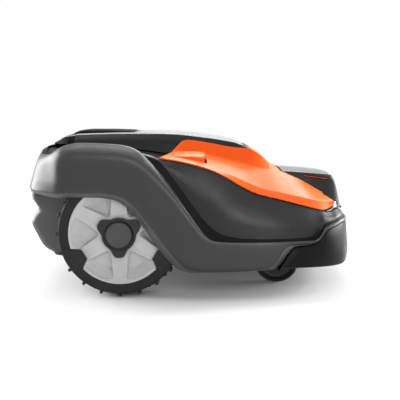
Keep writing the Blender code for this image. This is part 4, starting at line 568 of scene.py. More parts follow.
CHARCOAL = finish_of("charcoal_textured_plastic", (0.015, 0.015, 0.016), 0.38, grain=1100, pits=True,
                     specular=0.5)
# Painted light: a lighter copy of the body plastic on the downward-facing arch chamfer, standing in for
# light bounced up from the floor.
ARCH_PAINTED_LIGHT = finish_of("arch_chamfer_painted_light", (0.085, 0.085, 0.086), 0.42, grain=1100, pits=True, specular=0.3)
# Painted shade: a near-black copy of the body plastic, for the groove between fender and flank and for the
# deck behind the flanks.
GROOVE_SHADE = finish_of("groove_painted_shade", (0.006, 0.006, 0.007), 0.5, grain=1100, specular=0.08, wear=0.2)
FLANK_GREY = finish_of("flank_plastic", (0.012, 0.012, 0.013), 0.34, grain=1000, specular=0.32)
TAIL_GREY = finish_of("tail_plastic", (0.060, 0.060, 0.061), 0.42, grain=1000, pits=True, specular=0.5)
DARK = finish_of("dark_plastic", (0.022, 0.022, 0.023), 0.36, grain=1200, specular=0.25)
NOSE_DARK = finish_of("nose_plastic", (0.022, 0.022, 0.023), 0.34, grain=1200, specular=0.12)
# Upward faces of the nose: a glossier copy of the nose plastic whose lighter colour is a painted highlight
# for the top's reflection.
NOSE_TOP_HIGHLIGHT = finish_of("nose_top_painted_highlight", (0.030, 0.030, 0.031), 0.22, grain=1200, specular=0.7)
RIDGE_DARK = finish_of("ridge_plastic", (0.014, 0.014, 0.015), 0.40, grain=1200, specular=0.12)
CAP_GREY = finish_of("cap_plastic", (0.060, 0.060, 0.061), 0.38, grain=1000, specular=0.3)
BLACK_GLOSS = finish_of("black_gloss_plastic", (0.008, 0.008, 0.009), 0.16, grain=300, depth=0.00003,
                        vary=0.04, wear=0.15, coat=0.5)
BLACK_SOFT = finish_of("black_soft_touch", (0.010, 0.010, 0.011), 0.50, grain=1500, wear=0.2,
                       specular=0.015)
BUMPER_BLACK = finish_of("bumper_rubber", (0.002, 0.002, 0.003), 0.36, grain=1300, wear=0.3, specular=0.12)
TYRE = finish_of("tyre_rubber", (0.020, 0.020, 0.020), 0.62, grain=700, depth=0.0002, vary=0.1, wear=0.5,
                 specular=0.15)
RUBBER = finish_of("gasket_rubber", (0.012, 0.012, 0.013), 0.68, grain=800, wear=0.2)
RIM_GREY = finish_of("rim_light_grey_plastic", (0.50, 0.50, 0.50), 0.38, grain=900, mottle=0.03, wear=0.1,
                     specular=0.3)
SILVER = finish_of("silver_lid_plastic", (0.26, 0.26, 0.27), 0.28, grain=1300, mottle=0.03, wear=0.1,
                   specular=0.4)
ORANGE = finish_of("orange_gloss_plastic", (0.84, 0.095, 0.012), 0.26, grain=260, depth=0.00003,
                   mottle=0.03, vary=0.05, wear=0.12, specular=0.22, tint=(1.0, 0.55, 0.20), sheen=0.40)
STEEL = finish_of("bare_steel", (0.52, 0.52, 0.53), 0.30, grain=500, depth=0.00006, metallic=1.0,
                  streaks=(1.0, 1.0, 14.0))
CHROME = finish_of("bright_trim", (0.78, 0.78, 0.80), 0.10, grain=400, depth=0.00002, vary=0.04,
                   metallic=1.0, wear=0.05)
BRASS = finish_of("brass", (0.68, 0.47, 0.18), 0.28, grain=500, depth=0.00005, metallic=1.0)
LENS = finish_of("smoked_lens", (0.006, 0.006, 0.007), 0.14, grain=240, depth=0.00001, vary=0.03, wear=0.05,
                 specular=0.18)


BOARD_GREEN, BOARD_DEEP, BOARD_TRACE = (0.012, 0.10, 0.035), (0.010, 0.085, 0.030), (0.10, 0.28, 0.08)


def board_material():
    """Return a circuit board: green resist with copper traces under it."""
    made = finish_of("circuit_board", BOARD_GREEN, 0.35, grain=700, depth=0.00004)
    n = Nodes(made)
    where = n.add("ShaderNodeTexCoord").outputs["Object"]
    traces = n.add("ShaderNodeTexBrick", Vector=where, Scale=90.0, Mortar_Size=0.035,
                   Color1=(*BOARD_GREEN, 1.0), Color2=(*BOARD_DEEP, 1.0), Mortar=(*BOARD_TRACE, 1.0))
    n.feed(n.shader, "Base Color", traces.outputs["Color"])
    return made


BOARD = board_material()


# Body shell

SHELL_WALL = 0.0028
SHELL_STATIONS = 300


def body_section(way):
    """Return the section of the body shell, from the lower edge up and in to the deck opening."""
    place, outer, inner = plan_at(way)
    foot_in, foot_z = FLANK_FOOT_IN(place), FLANK_FOOT_Z(place)
    top_in, top_z = FLANK_TOP_IN(place), FLANK_TOP_Z(place)
    lines = (
        (ARCH_EDGE_IN(place), ARCH_EDGE_Z(place)),
        (ARCH_LIP_IN(place), ARCH_LIP_Z(place)),
        (BAND_IN(place), BAND_Z(place)),
        (FACE_TOP_IN(place), FACE_TOP_Z(place)),
        (CREST_IN(place), CREST_Z(place)),
        (VALLEY_IN(place), VALLEY_Z(place)),
        (foot_in, foot_z),
        ((foot_in + top_in) / 2 - FLANK_BULGE(place), (foot_z + top_z) / 2),
        (top_in, top_z),
        (top_in + REBATE_IN, top_z - REBATE_DROP),
        ((inner - outer).length, DECK_Z(place)),
    )
    return [inset_point(outer, inner, inset, height) for inset, height in lines]


SHELL_RADII = (0.0022, 0.004, 0.016, 0.018, 0.006, 0.004, 0.060, 0.0014, 0.0006)
SHELL_SEGMENTS = (3, 2, 6, 7, 4, 4, 8, 3, 0)
CREST_CORNER, FOOT_CORNER = 4, 6
FLANK_BACK = -0.230
SHELL_EXTRAS = (GROOVE_SHADE, FLANK_GREY, ARCH_PAINTED_LIGHT)
IN_GROOVE_SHADE, ON_FLANK, AT_ARCH_LIGHT = 1, 2, 3


def shell():
    """The grey moulding: fenders, arches, sills, grooves and flanks; painted shade in the grooves, painted
    light on the arch chamfers.
    """
    ways = steps_between(0.0, PLAN_LENGTH, SHELL_STATIONS)
    rows = [filleted(body_section(way), SHELL_RADII, SHELL_SEGMENTS) for way in ways]
    bm = sheet(rows)
    starts = np.cumsum([1] + [count + 1 for count in SHELL_SEGMENTS])
    groove, flank = starts[CREST_CORNER] - 2, starts[FOOT_CORNER] - 2
    spots = [(row[0].x, line) for row in rows[1:] for line in range(len(row) - 1)]
    for face, (x, line) in zip(bm.faces, spots):
        # Groove faces, and flank faces behind FLANK_BACK, take the painted shade.
        if line >= groove:
            face.material_index = ON_FLANK if line >= flank and x > FLANK_BACK else IN_GROOVE_SHADE
        # The arch's lower chamfer faces take the painted light.
        elif line == 0:
            face.material_index = AT_ARCH_LIGHT
    obj = both_halves("shell", bm, CHARCOAL, "floating_body", "body_shell", SHELL_WALL)
    for extra in SHELL_EXTRAS:
        obj.data.materials.append(extra)
    smooth(obj, 28)


# Orange panel

PANEL_WALL = 0.0026
PANEL_BACK, PANEL_TIP = -0.075, 0.297
PANEL_SKIRT_OUT, PANEL_SKIRT_GAP, PANEL_SKIRT_IN = 0.0015, 0.0034, 0.011
PANEL_SLANT = (0.0, 0.002, 0.020, 0.040)
PANEL_SLANT_END = 0.030
PANEL_STATIONS = 120
PANEL_RADII = (0.0035, 0.005)
PANEL_SEGMENTS = (4, 4)
SLOPE_START, SLOPE_END = 0.117, 0.190
RIDGE_CROWN = 0.002


def panel_point(place, line, slant=0.0):
    """Return a point of the orange panel's surface, on one of its four lines."""
    fade = min(max((PANEL_SLANT_END - place) / (PANEL_SLANT_END - PANEL_BACK), 0.0), 1.0)
    where, outer, inner = plan_at(way_at(place + slant * fade * fade))
    reach = (inner - outer).length
    edge_in, edge_z = FLANK_TOP_IN(where), FLANK_TOP_Z(where) + PANEL_SKIRT_GAP
    lines = (
        (edge_in - PANEL_SKIRT_OUT, edge_z + PANEL_TIP_LIFT(where)),
        (edge_in + PANEL_SKIRT_IN, PANEL_CREST_Z(where)),
        (reach - CREASE_MARGIN(where), PANEL_CREASE_Z(where)),
        (reach - TOP_MARGIN(where), PANEL_TOP_Z(where)),
    )
    return inset_point(outer, inner, *lines[line])


SCOOP_BACK, SCOOP_FRONT, SCOOP_HEIGHT = -0.052, 0.016, 0.010
SCOOP_OUTER_Y, SCOOP_INNER_Y = 0.200, 0.142
SCOOP_SWELL, SCOOP_SINK, SCOOP_WALL = 0.8, 0.0012, 0.003
# Lines of the finger grip: the way across and the share of the rise, or none where an edge is sunk
SCOOP_LINES = ((SCOOP_OUTER_Y, None), (SCOOP_OUTER_Y - 0.004, 0.8), (SCOOP_OUTER_Y - 0.012, 1.0),
               (SCOOP_INNER_Y + 0.006, 1.0), (SCOOP_INNER_Y, None))
# Place and shape of the black wedge of painted shadow under the front of each finger grip.
SHADOW_WEDGE_OUTER_Y, SHADOW_WEDGE_INNER_Y = 0.196, 0.180
SHADOW_WEDGE_OUTLINE = ((0.0004, -0.002), (0.0004, 0.0070), (0.0014, 0.0070), (0.0060, -0.002))


def panel_height(x, y):
    """Return the height of the panel between its crest and its crease."""
    crest, crease = panel_point(x, 1), panel_point(x, 2)
    return float(np.interp(-abs(y), (crest.y, crease.y), (crest.z, crease.z)))


def scoop():
    """Return the raised finger grip near the back of the panel, as a wedge with a hollow front."""
    outlines = []
    for x in steps_between(SCOOP_BACK, SCOOP_FRONT, 12):
        share = (x - SCOOP_BACK) / (SCOOP_FRONT - SCOOP_BACK)
        rise = SCOOP_HEIGHT * share ** SCOOP_SWELL
        upper, under = [], []
        for y, part in SCOOP_LINES:
            height = panel_height(x, y)
            lift = -SCOOP_SINK if part is None else rise * part
            upper.append(Vector((x, -y, height + lift)))
            under.append(Vector((x, -y, height - SCOOP_WALL + min(lift, 0.0))))
        outlines.append([*upper, *reversed(under)])
    return stacked(outlines)


def grip_shadow_wedge(side):
    """Return a black wedge under the front edge of a finger grip: painted shadow where the grip overhangs
    the panel.
    """
    rows = []
    for y in (SHADOW_WEDGE_OUTER_Y, SHADOW_WEDGE_INNER_Y):
        floor = panel_height(SCOOP_FRONT, y)
        rows.append([Vector((SCOOP_FRONT + along, side * y, floor + up)) for along, up in SHADOW_WEDGE_OUTLINE])
    return stacked(rows)


def panel():
    """The glossy orange cover: two arms, the walls beside the ridge and the slope before it."""
    places = steps_between(PANEL_BACK, PANEL_TIP, PANEL_STATIONS)
    rows = [filleted([panel_point(place, line, slant) for line, slant in enumerate(PANEL_SLANT)],
                     PANEL_RADII, PANEL_SEGMENTS) for place in places]
    bm = sheet(rows)
    edges = [row[-1] for place, row in zip(places, rows) if SLOPE_START <= place <= SLOPE_END]
    sheet([[Vector((edge.x, edge.y * share, edge.z + RIDGE_CROWN * (1 - share * share)))
            for share in steps_between(1.0, 0.0, 8)] for edge in edges], bm)
    obj = both_halves("panel", bm, ORANGE, "floating_body", "top_panel", PANEL_WALL)
    smooth(settled(obj), 25)
    grip = put("panel_grip_right", scoop(), ORANGE, "floating_body")
    soften(grip, 0.0010, 3)
    smooth(settled(grip))
    other = grip.data.copy()
    other.transform(Matrix.Scale(-1, 4, (0, 1, 0)))
    other.flip_normals()
    smooth(put_mesh("panel_grip_left", other, ORANGE, "floating_body"))
    for name, side in SIDES.items():
        # Painted shadow under the front edge of each grip.
        put(f"grip_shadow_{name}", grip_shadow_wedge(side), BLACK_SOFT, "floating_body")


# Bumper

BUMPER_WALL = 0.0035
BUMPER_START, BUMPER_FULL = 0.164, 0.184
BUMPER_STATIONS = 110
BUMPER_START_FALL, BUMPER_TUCK_IN, BUMPER_TUCK_UP = 0.1, 0.0060, 0.0035
BUMPER_RADII = (0.006, 0.030, 0.020, 0.0015, 0.0)
BUMPER_SEGMENTS = (5, 5, 5, 3, 0)
TOUCH_GAP = 0.0004


def bumper():
    """The black bumper that wraps the front end under the body shell."""
    rows = []
    for way in steps_between(way_at(BUMPER_START), PLAN_LENGTH, BUMPER_STATIONS):
        place, outer, inner = plan_at(way)
        foot = BUMPER_FOOT_Z(place)
        top = ARCH_EDGE_Z(place) - 3 * TOUCH_GAP - max(BUMPER_FULL - place, 0.0) * BUMPER_START_FALL
        height = top - foot
        edge = ARCH_EDGE_IN(place)
        tuck = edge + BUMPER_TUCK_IN
        tuck_up = min(BUMPER_TUCK_UP, max(VALLEY_Z(place) - 2.2 * SHELL_WALL - top, TOUCH_GAP))
        lines = ((0.012, foot - 0.001), (0.003, foot), (-BUMPER_BULGE(place), foot + 0.3 * height),
                 (edge - 0.004, foot + 0.85 * height), (edge, top), (tuck, top), (tuck, top + tuck_up))
        rows.append(filleted([inset_point(outer, inner, inset, z) for inset, z in lines],
                             BUMPER_RADII, BUMPER_SEGMENTS))
    obj = both_halves("bumper", sheet(rows), BUMPER_BLACK, "floating_body", "front_bumper", BUMPER_WALL)
    smooth(obj, 35)


# Nose

NOSE_PLACES = steps_between(0.194, 0.300, 20) + steps_between(0.3015, 0.335, 26)
NOSE_TUMBLEHOME, NOSE_EDGE = 0.006, 0.006
FLAT_TOP = 0.85
DECK_LINES = [body_section(way)[-2:] for way in steps_between(0.0, PLAN_LENGTH, SHELL_STATIONS)]


def deck_height(x, y):
    """Return the height of the deck's outer face at a point in plan."""
    across = [start.lerp(end, (-abs(y) - start.y) / (end.y - start.y))
              for start, end in DECK_LINES if start.y < -abs(y) < end.y]
    return float(np.interp(x, [point.x for point in across], [point.z for point in across]))


VENT_BACK, VENT_FRONT, VENT_DROP, VENT_FALL = 0.243, 0.298, 0.0088, 0.0030
VENT_HALF, VENT_DEPTH, VENT_OVER = 0.0026, 0.0025, 0.004
# What lies in the slot: a black strip of painted shade, and an orange strip of painted glint; name, finish,
# half height, and the depths of its back and its face
VENT_FILLS = (("nose_slot_shade", BLACK_SOFT, 0.0024, -VENT_DEPTH, -0.0010),
              ("nose_glint", ORANGE, 0.0005, -0.0009, -0.0003))
NOSE_FULL, NOSE_RADII, NOSE_SEGMENTS = 0.016, (0.0022, 0.0030), (3, 3)


def nose_slot(side, half, inner, outer):
    """Return a thin bar along the upper edge of the nose's side, between two depths from its face."""
    rows = []
    for place in steps_between(VENT_BACK, VENT_FRONT, 12):
        share = (place - VENT_BACK) / (VENT_FRONT - VENT_BACK)
        height = NOSE_TOP_Z(place) + BODY_LIFT - VENT_DROP - VENT_FALL * (share - 0.5)
        face = NOSE_HALF(place) - NOSE_TUMBLEHOME * 0.7
        rows.append([Vector((place, side * (face + depth), height + up))
                     for depth, up in ((inner, -half), (outer, -half), (outer, half), (inner, half))])
    return stacked(rows)


def nose():
    """The dark sensor block between the panel's arms, with a slim vent slot in each side holding painted
    shade and a painted glint, and a painted highlight on its top.
    """
    rows = []
    for place in NOSE_PLACES:
        half, top = NOSE_HALF(place), NOSE_TOP_Z(place) + BODY_LIFT
        seat = max(NOSE_FOOT_Z(place) + BODY_LIFT, deck_height(place, half) + 4 * TOUCH_GAP)
        foot = min(seat, top - SHELL_WALL)
        low = min(1.0, (top - foot) / NOSE_FULL)
        section = ((-half, foot), (-half + NOSE_TUMBLEHOME * 0.8 * low, top - NOSE_EDGE * low),
                   (-half + (NOSE_TUMBLEHOME + NOSE_EDGE), top), (0.0, top + RIDGE_CROWN))
        rows.append(filleted([Vector((place, y, z)) for y, z in section], NOSE_RADII, NOSE_SEGMENTS))
    bm = sheet(capped(rows)[:-1])
    obj = both_halves("nose", bm, NOSE_DARK, "floating_body", "nose_cover", SHELL_WALL)
    for side in SIDES.values():
        carve(obj, nose_slot(side, VENT_HALF, -VENT_DEPTH, VENT_OVER))
    settled(obj)
    obj.data.materials.append(NOSE_TOP_HIGHLIGHT)
    # Faces that point up take the lighter copy: painted highlight on the nose's top.
    for face in obj.data.polygons:
        face.material_index = 1 if face.normal.z > FLAT_TOP else 0
    smooth(obj, 30)
    for name, side in SIDES.items():
        for piece, material, half, back, face in VENT_FILLS:
            put(f"{piece}_{name}", nose_slot(side, half, back, face), material, "floating_body")


# Ridge, hatch and stop button

RIDGE_FOOT_HALF, RIDGE_HALF, RIDGE_TOP_HALF = 0.1225, 0.114, 0.101
RIDGE_SEAT, RIDGE_TAIL_SEAT, RIDGE_TAIL_END = 0.0028, 0.0016, -0.280
RIDGE_BACK, RIDGE_FRONT = -0.318, 0.1165
HATCH_BACK, HATCH_FRONT, HATCH_HALF, HATCH_WALL = -0.135, 0.104, 0.086, 0.0036
STOP_BACK, STOP_FRONT, STOP_HALF = -0.284, -0.142, 0.062
SHUT_GAP, LIP_SWING = 0.0016, 0.0015
RIDGE_SILVER_END, RIDGE_SILVER_IN = 0.098, 0.074
RIDGE_BLACK_END, RIDGE_LINE_DROP, RIDGE_LINE_WIDTH, SKIN = -0.268, 0.0025, 0.004, 0.001
PIN_X, PIN_Z, PIN_REACH = 0.090, 0.29294, 0.0055
KNUCKLE_Y, EAR_Y, KNUCKLE_HALF = 0.044, 0.056, 0.005
EAR_TOP, EAR_DROP, EAR_FOOT = 0.0045, 0.020, 0.008
RIDGE_PLACES = steps_between(RIDGE_BACK, -0.255, 24) + steps_between(-0.250, RIDGE_FRONT, 70)
RIDGE_SHOULDER, RIDGE_SHARES = 0.6, (1, 0.75, 0.5, 0.25, 0)
RIDGE_RADII, RIDGE_SEGMENTS = (0.004, 0.003, 0, 0, 0), (3, 3, 0, 0, 0)
OPENING_ROUND, OPENING_LOW, OPENING_HIGH = 0.006, 0.24, 0.35
ON_SILVER, ON_BLACK = 1, 2
HATCH_EDGE_DROP, HATCH_LINES = 0.004, (HATCH_HALF - 0.002, *steps_between(0.072, 0.0, 8))
HATCH_RADII, HATCH_SEGMENTS = [0.0016] + [0] * 9, [3] + [0] * 9
STOP_FOOT, STOP_END, STOP_END_DROP = 0.016, 0.006, 0.004
STOP_LINES = ((STOP_HALF, 0.006), (STOP_HALF - 0.006, 0.001), (0.030, 0.0), (0.0, 0.0))
STOP_RADII, STOP_SEGMENTS = (0.003, 0.004, 0), (4, 4, 0)


def add_blocks(obj, outline, y):
    """Add a block of a side outline of x and z to a piece, at each side."""
    bm = bmesh.new()
    bm.from_mesh(obj.data)
    merged([stacked([[Vector((x, middle + across, z)) for x, z in outline]
                     for across in (-KNUCKLE_HALF, KNUCKLE_HALF)]) for middle in (-y, y)], bm)
    bm.to_mesh(obj.data)
    bm.free()


def ridge_height(place, y):
    """Return the height of the ridge's top at a place along the body."""
    share = min(abs(y) / RIDGE_TOP_HALF, 1.0)
    return RIDGE_Z(place) + RIDGE_CROWN * (1 - share * share) + BODY_LIFT


def ridge():
    """The dark ridge along the top, open for the stop button and the hatch."""
    rows = []
    for place in RIDGE_PLACES:
        base = deck_height(place, RIDGE_FOOT_HALF) + RIDGE_SEAT
        if place < RIDGE_TAIL_END:
            base = FLANK_TOP_Z(BODY_PLAN[0][0] * MM) + BODY_LIFT + RIDGE_TAIL_SEAT
        top = ridge_height(place, RIDGE_TOP_HALF)
        section = [(RIDGE_FOOT_HALF, base), (RIDGE_HALF, base + (top - base) * RIDGE_SHOULDER)]
        section += [(RIDGE_TOP_HALF * s, ridge_height(place, RIDGE_TOP_HALF * s)) for s in RIDGE_SHARES]
        points = [Vector((place, -y * RIDGE_TAPER(place) / MM, z)) for y, z in section]
        rows.append(filleted(points, RIDGE_RADII, RIDGE_SEGMENTS))
    bm = sheet(capped(rows))
    obj = both_halves("ridge", bm, RIDGE_DARK, "floating_body", "spine_frame", SHELL_WALL)
    stop = box_outline(STOP_BACK - SHUT_GAP, STOP_FRONT + SHUT_GAP, STOP_HALF + SHUT_GAP)
    lid = box_outline(HATCH_BACK - SHUT_GAP, HATCH_FRONT + LIP_SWING + SHUT_GAP, HATCH_HALF + SHUT_GAP)
    for outline in (stop, lid):
        carve(obj, prism(rounded_outline(outline, OPENING_ROUND), OPENING_LOW, OPENING_HIGH))
    settled(obj)
    obj.data.materials.append(SILVER)
    obj.data.materials.append(BLACK_SOFT)
    for face in obj.data.polygons:
        x, y, z = face.center
        below = ridge_height(x, y) - z
        edge = RIDGE_TOP_HALF * RIDGE_TAPER(x) / MM - RIDGE_LINE_WIDTH
        if x < RIDGE_BLACK_END:
            face.material_index = ON_SILVER if below < RIDGE_LINE_DROP and abs(y) > edge else ON_BLACK
        elif face.normal.z > FLAT_TOP and below < SKIN and x < RIDGE_SILVER_END:
            face.material_index = ON_SILVER if abs(y) > RIDGE_SILVER_IN or x > STOP_FRONT else 0
    top, step, foot = PIN_Z + EAR_TOP, PIN_Z - EAR_DROP, PIN_Z - EAR_DROP - EAR_FOOT
    wall = RIDGE_FRONT - SHELL_WALL / 2
    add_blocks(obj, [(PIN_X - PIN_REACH, top), (PIN_X - PIN_REACH, foot), (wall, foot), (wall, step),
                     (PIN_X + PIN_REACH / 2, step), (PIN_X + PIN_REACH / 2, top)], EAR_Y)
    smooth(obj, 30)


def hatch():
    """The lid over the controls, silver on top, hinged at its front edge."""
    rows = []
    for place in steps_between(HATCH_BACK, HATCH_FRONT, 60):
        section = [(HATCH_HALF, ridge_height(place, HATCH_HALF) - HATCH_EDGE_DROP)]
        section += [(y, ridge_height(place, y)) for y in HATCH_LINES]
        rows.append(filleted([Vector((place, -y, z)) for y, z in section], HATCH_RADII, HATCH_SEGMENTS))
    obj = both_halves("lid", sheet(rows), SILVER, "hatch_lid", "hatch", HATCH_WALL)
    settled(obj)
    under = ridge_height(PIN_X, 0.0) - HATCH_WALL / 2
    add_blocks(obj, [(PIN_X - PIN_REACH, under), (PIN_X - PIN_REACH, PIN_Z - PIN_REACH),
                     (PIN_X + PIN_REACH, PIN_Z - PIN_REACH), (PIN_X + PIN_REACH, under - 0.003)], KNUCKLE_Y)
    smooth(obj, 30)


def stop_button():
    """The long low stop button at the back of the ridge."""
    rows = []
    foot = ridge_height(STOP_BACK, 0.0) - STOP_FOOT
    for place in steps_between(STOP_BACK, STOP_FRONT, 60):
        ends = min(place - STOP_BACK, STOP_FRONT - place)
        top = STOP_TOP_Z(place) + BODY_LIFT - STOP_END_DROP * max(1 - ends / STOP_END, 0.0) ** 2
        section = [(STOP_HALF, foot), *((y, top - drop) for y, drop in STOP_LINES)]
        rows.append(filleted([Vector((place, -y, z)) for y, z in section], STOP_RADII, STOP_SEGMENTS))
    obj = both_halves("stop_pad", sheet(capped(rows)), BLACK_SOFT, "stop_key", "stop_button", SHELL_WALL)
    smooth(settled(obj), 30)


# Headlights

LIGHT_START, LIGHT_END, LIGHT_HEIGHT = 0.274, 0.308, 0.013
# Lines of the lens and of its trim: the way in, and the share of the height
LENS_LINES = ((0.001, 0.0), (0.0022, 0.3), (0.004, 0.6), (0.007, 0.85), (0.010, 1.0))
TRIM_LINES = ((0.0088, 0.94), (0.0098, 1.03))
LENS_WALL, TRIM_WALL = 0.0026, 0.0008


def light_strip(name, side, lines, wall, material, *replaced):
    """A strip that follows the front corner, through lines of inset and height."""
    rows = []
    for way in steps_between(way_at(LIGHT_START), way_at(LIGHT_END), 24):
        place, outer, inner = plan_at(way)
        inset, foot = FLANK_TOP_IN(place), FLANK_TOP_Z(place) + TOUCH_GAP
        height = min(LIGHT_HEIGHT, PANEL_SKIRT_GAP + PANEL_TIP_LIFT(place) - PANEL_WALL)
        rows.append([inset_point(outer, inner, inset + depth, foot + share * height)
                     for depth, share in lines])
    if side > 0:
        rows = [[Vector((p.x, -p.y, p.z)) for p in row] for row in reversed(rows)]
    obj = put(name, sheet(rows), material, "floating_body", *replaced)
    thicken(obj, wall)
    smooth(obj, 40)


def headlights():
    """Smoked lenses with bright strips under the tips of the panel's arms."""
    for name, side in SIDES.items():
        light_strip(f"light_lens_{name}", side, LENS_LINES, LENS_WALL, LENS, f"headlight_{name}")
        light_strip(f"light_trim_{name}", side, TRIM_LINES, TRIM_WALL, CHROME)


# Tail

TAIL_HALF, TAIL_ROUND, TAIL_CORNER = 0.195, 0.016, 0.008
TAIL_MIDDLE, TAIL_STRAIGHT = Vector((-0.270, 0.140)), -0.300
TAIL_HOLLOW_BACK, TAIL_HOLLOW_HALF, TAIL_HOLLOW_TOP = -0.3004, 0.1604, 0.4
TAIL_PROFILE = ((-0.347, 0.2080), (-0.347, 0.1930), (-0.332, 0.168), (-0.345, 0.153), (-0.351, 0.138),
                (-0.344, 0.122), (-0.329, 0.091), (-0.316, 0.079), (-0.292, 0.069), (-0.238, 0.069),
                (-0.238, 0.2000))


def tail():
    """The guard behind the wheels, with a groove for the fingers that lift the mower."""
    outline = [p + Vector((0, BODY_LIFT)) for p in rounded_outline(TAIL_PROFILE, TAIL_CORNER, 6)]
    ends = [(TAIL_ROUND * (1 - math.sin(turn)), TAIL_HALF - TAIL_ROUND * (1 - math.cos(turn)))
            for turn in steps_between(0.0, math.pi / 2, 8)]
    sections = []
    for drawn_in, y in [*ends, *((d, -v) for d, v in reversed(ends))]:
        shrunk = [p - (p - TAIL_MIDDLE).normalized() * drawn_in if p.x < TAIL_STRAIGHT else p
                  for p in outline]
        sections.append([Vector((p.x, y, p.y)) for p in shrunk])
    obj = put("tail_guard", stacked(sections), TAIL_GREY, "chassis", "chassis_tail")
    carve(obj, prism(box_outline(TAIL_HOLLOW_BACK, 0.0, TAIL_HOLLOW_HALF), 0.0, TAIL_HOLLOW_TOP))
    smooth(settled(obj), 40)


# Rear wheels, made with +Z outwards

WHEEL_RADIUS, LUG_HEIGHT, TYRE_WIDTH = 0.130, 0.0062, 0.056
AXLE_X, WHEEL_MID_Y = -0.156, 0.228
TREAD_RADIUS = WHEEL_RADIUS - LUG_HEIGHT
RIM_EDGE_RADIUS, RIM_EDGE_Z, FACE_Z = 0.1025, 0.0260, 0.0225
TAB_ANGLES, LOBE_ANGLES = (90, 210, 330), (30, 150, 270)
TAB_INNER, TAB_HALF_ANGLE, TAB_INNER_HALF_ANGLE = 0.0835, 14.5, 7.2
HUB_RADIUS, HUB_LOBE_RADIUS, HUB_DEPTH, HUB_RECESS = 0.0345, 0.0470, 0.0085, 0.0310
CAP_RADIUS, CAP_HEIGHT = 0.0257, 0.0070
HUB_SINK, HUB_CUT_OVER, LOBE_DROP = 0.0055, 0.004, 0.0015
LOBE_PLAN = ((HUB_RADIUS - 0.008, 0.0195), (HUB_LOBE_RADIUS - 0.004, 0.0110), (HUB_LOBE_RADIUS, 0.0060))
CAP_RING = ((0.0212, 0.0), (0.0206, 0.0004), (0.0198, 0.0004), (0.0190, 0.0))
TAB_MARGIN, TAB_DEPTH, TAB_PROUD, TAB_TOP, TAB_TOP_SHARE = 0.0045, 0.010, 0.0004, 0.0010, 0.995
TYRE_SEAT = RIM_EDGE_RADIUS + TOUCH_GAP
TYRE_HALF = ((TYRE_SEAT, 0.0), (TYRE_SEAT, RIM_EDGE_Z - 0.0005), (TREAD_RADIUS - 0.0033, TYRE_WIDTH / 2),
             (TREAD_RADIUS, TYRE_WIDTH / 2 - 0.0045), (TREAD_RADIUS, 0.0))
TYRE_RADII, TYRE_SEGMENTS = (0.0012, 0.0040, 0.0030), (3, 5, 4)
LUGS_PER_ROW = 20
# Rings of a lug from its root up: radius, half its angle, and its two edges across the tread
LUG_RINGS = ((TREAD_RADIUS - 0.001, 1.55, -0.001, 0.0235), (TREAD_RADIUS + 0.003, 1.45, -0.001, 0.0232),
             (WHEEL_RADIUS - 0.0006, 1.10, 0.0008, 0.0215), (WHEEL_RADIUS, 0.85, 0.0014, 0.0208))
RIM_BORE, RIM_BOSS, RIM_WEB_Z = 0.0084, 0.020, 0.004
RIM_BARREL, RIM_BACK_Z, RIM_CUT_OVER = RIM_EDGE_RADIUS - 0.0045, RIM_WEB_Z - TYRE_WIDTH / 2, 0.004
RIM_PROFILE = (
    (RIM_BORE, FACE_Z), (0.0880, FACE_Z), (0.0930, FACE_Z + 0.0006), (0.0975, RIM_EDGE_Z - 0.0006),
    (0.0990, RIM_EDGE_Z), (RIM_EDGE_RADIUS - 0.0008, RIM_EDGE_Z), (RIM_EDGE_RADIUS, RIM_EDGE_Z - 0.0008),
    (RIM_EDGE_RADIUS, RIM_BACK_Z), (RIM_BARREL, RIM_BACK_Z), (RIM_BARREL, RIM_WEB_Z),
    (RIM_BOSS, RIM_WEB_Z), (RIM_BOSS, RIM_BACK_Z), (RIM_BORE, RIM_BACK_Z),
)
# Rings of a pocket: height, radius and half angle of its inner and outer corners, and its crown's radius
POCKET_RINGS = ((RIM_EDGE_Z + RIM_CUT_OVER, 0.0405, 4.5, 0.0930, 22.0, 0.0968),
                (FACE_Z, 0.0405, 4.5, 0.0930, 22.0, 0.0968), (0.0085, 0.0470, 2.5, 0.0745, 19.0, 0.0762))
POCKET_CROWN_ANGLE, POCKET_ROUND = 11, 0.0035


def wheel_frame(side):
    """Return the matrix that puts a wheel, made with +Z outwards, on its axle."""
    place = Matrix.Translation((AXLE_X, side * WHEEL_MID_Y, WHEEL_RADIUS))
    if side < 0:
        return place @ Matrix.Rotation(math.radians(90), 4, "X")
    outward = Matrix.Rotation(math.radians(-90), 4, "X")
    return place @ outward @ Matrix.Rotation(math.radians(180), 4, "Z")


def finished(name, bm, *edits):
    """Build a loose mesh from a bmesh: edits are cutters and joins, then the edges are softened."""
    obj = linked(name, mesh_of(name, bm))
    for operation, other in edits:
        if operation == "SOFTEN":
            soften(obj, *other)
        else:
            carve(obj, other, operation)
    made = settled(obj).data
    bpy.data.objects.remove(obj, do_unlink=True)
    return made


def tab_outline(angle, gap, outer):
    """Return the plan of one of the tyre's wedges that key into the rim."""
    sway = math.degrees(gap / TAB_INNER)
    line = [polar(outer, angle + TAB_HALF_ANGLE * s / 4 + sway * (1 if s > 0 else -1))
            for s in range(-4, 5)]
    line += [polar(TAB_INNER - gap, angle + s * (TAB_INNER_HALF_ANGLE + sway)) for s in (1, -1)]
    return [(p.x, p.y) for p in line]


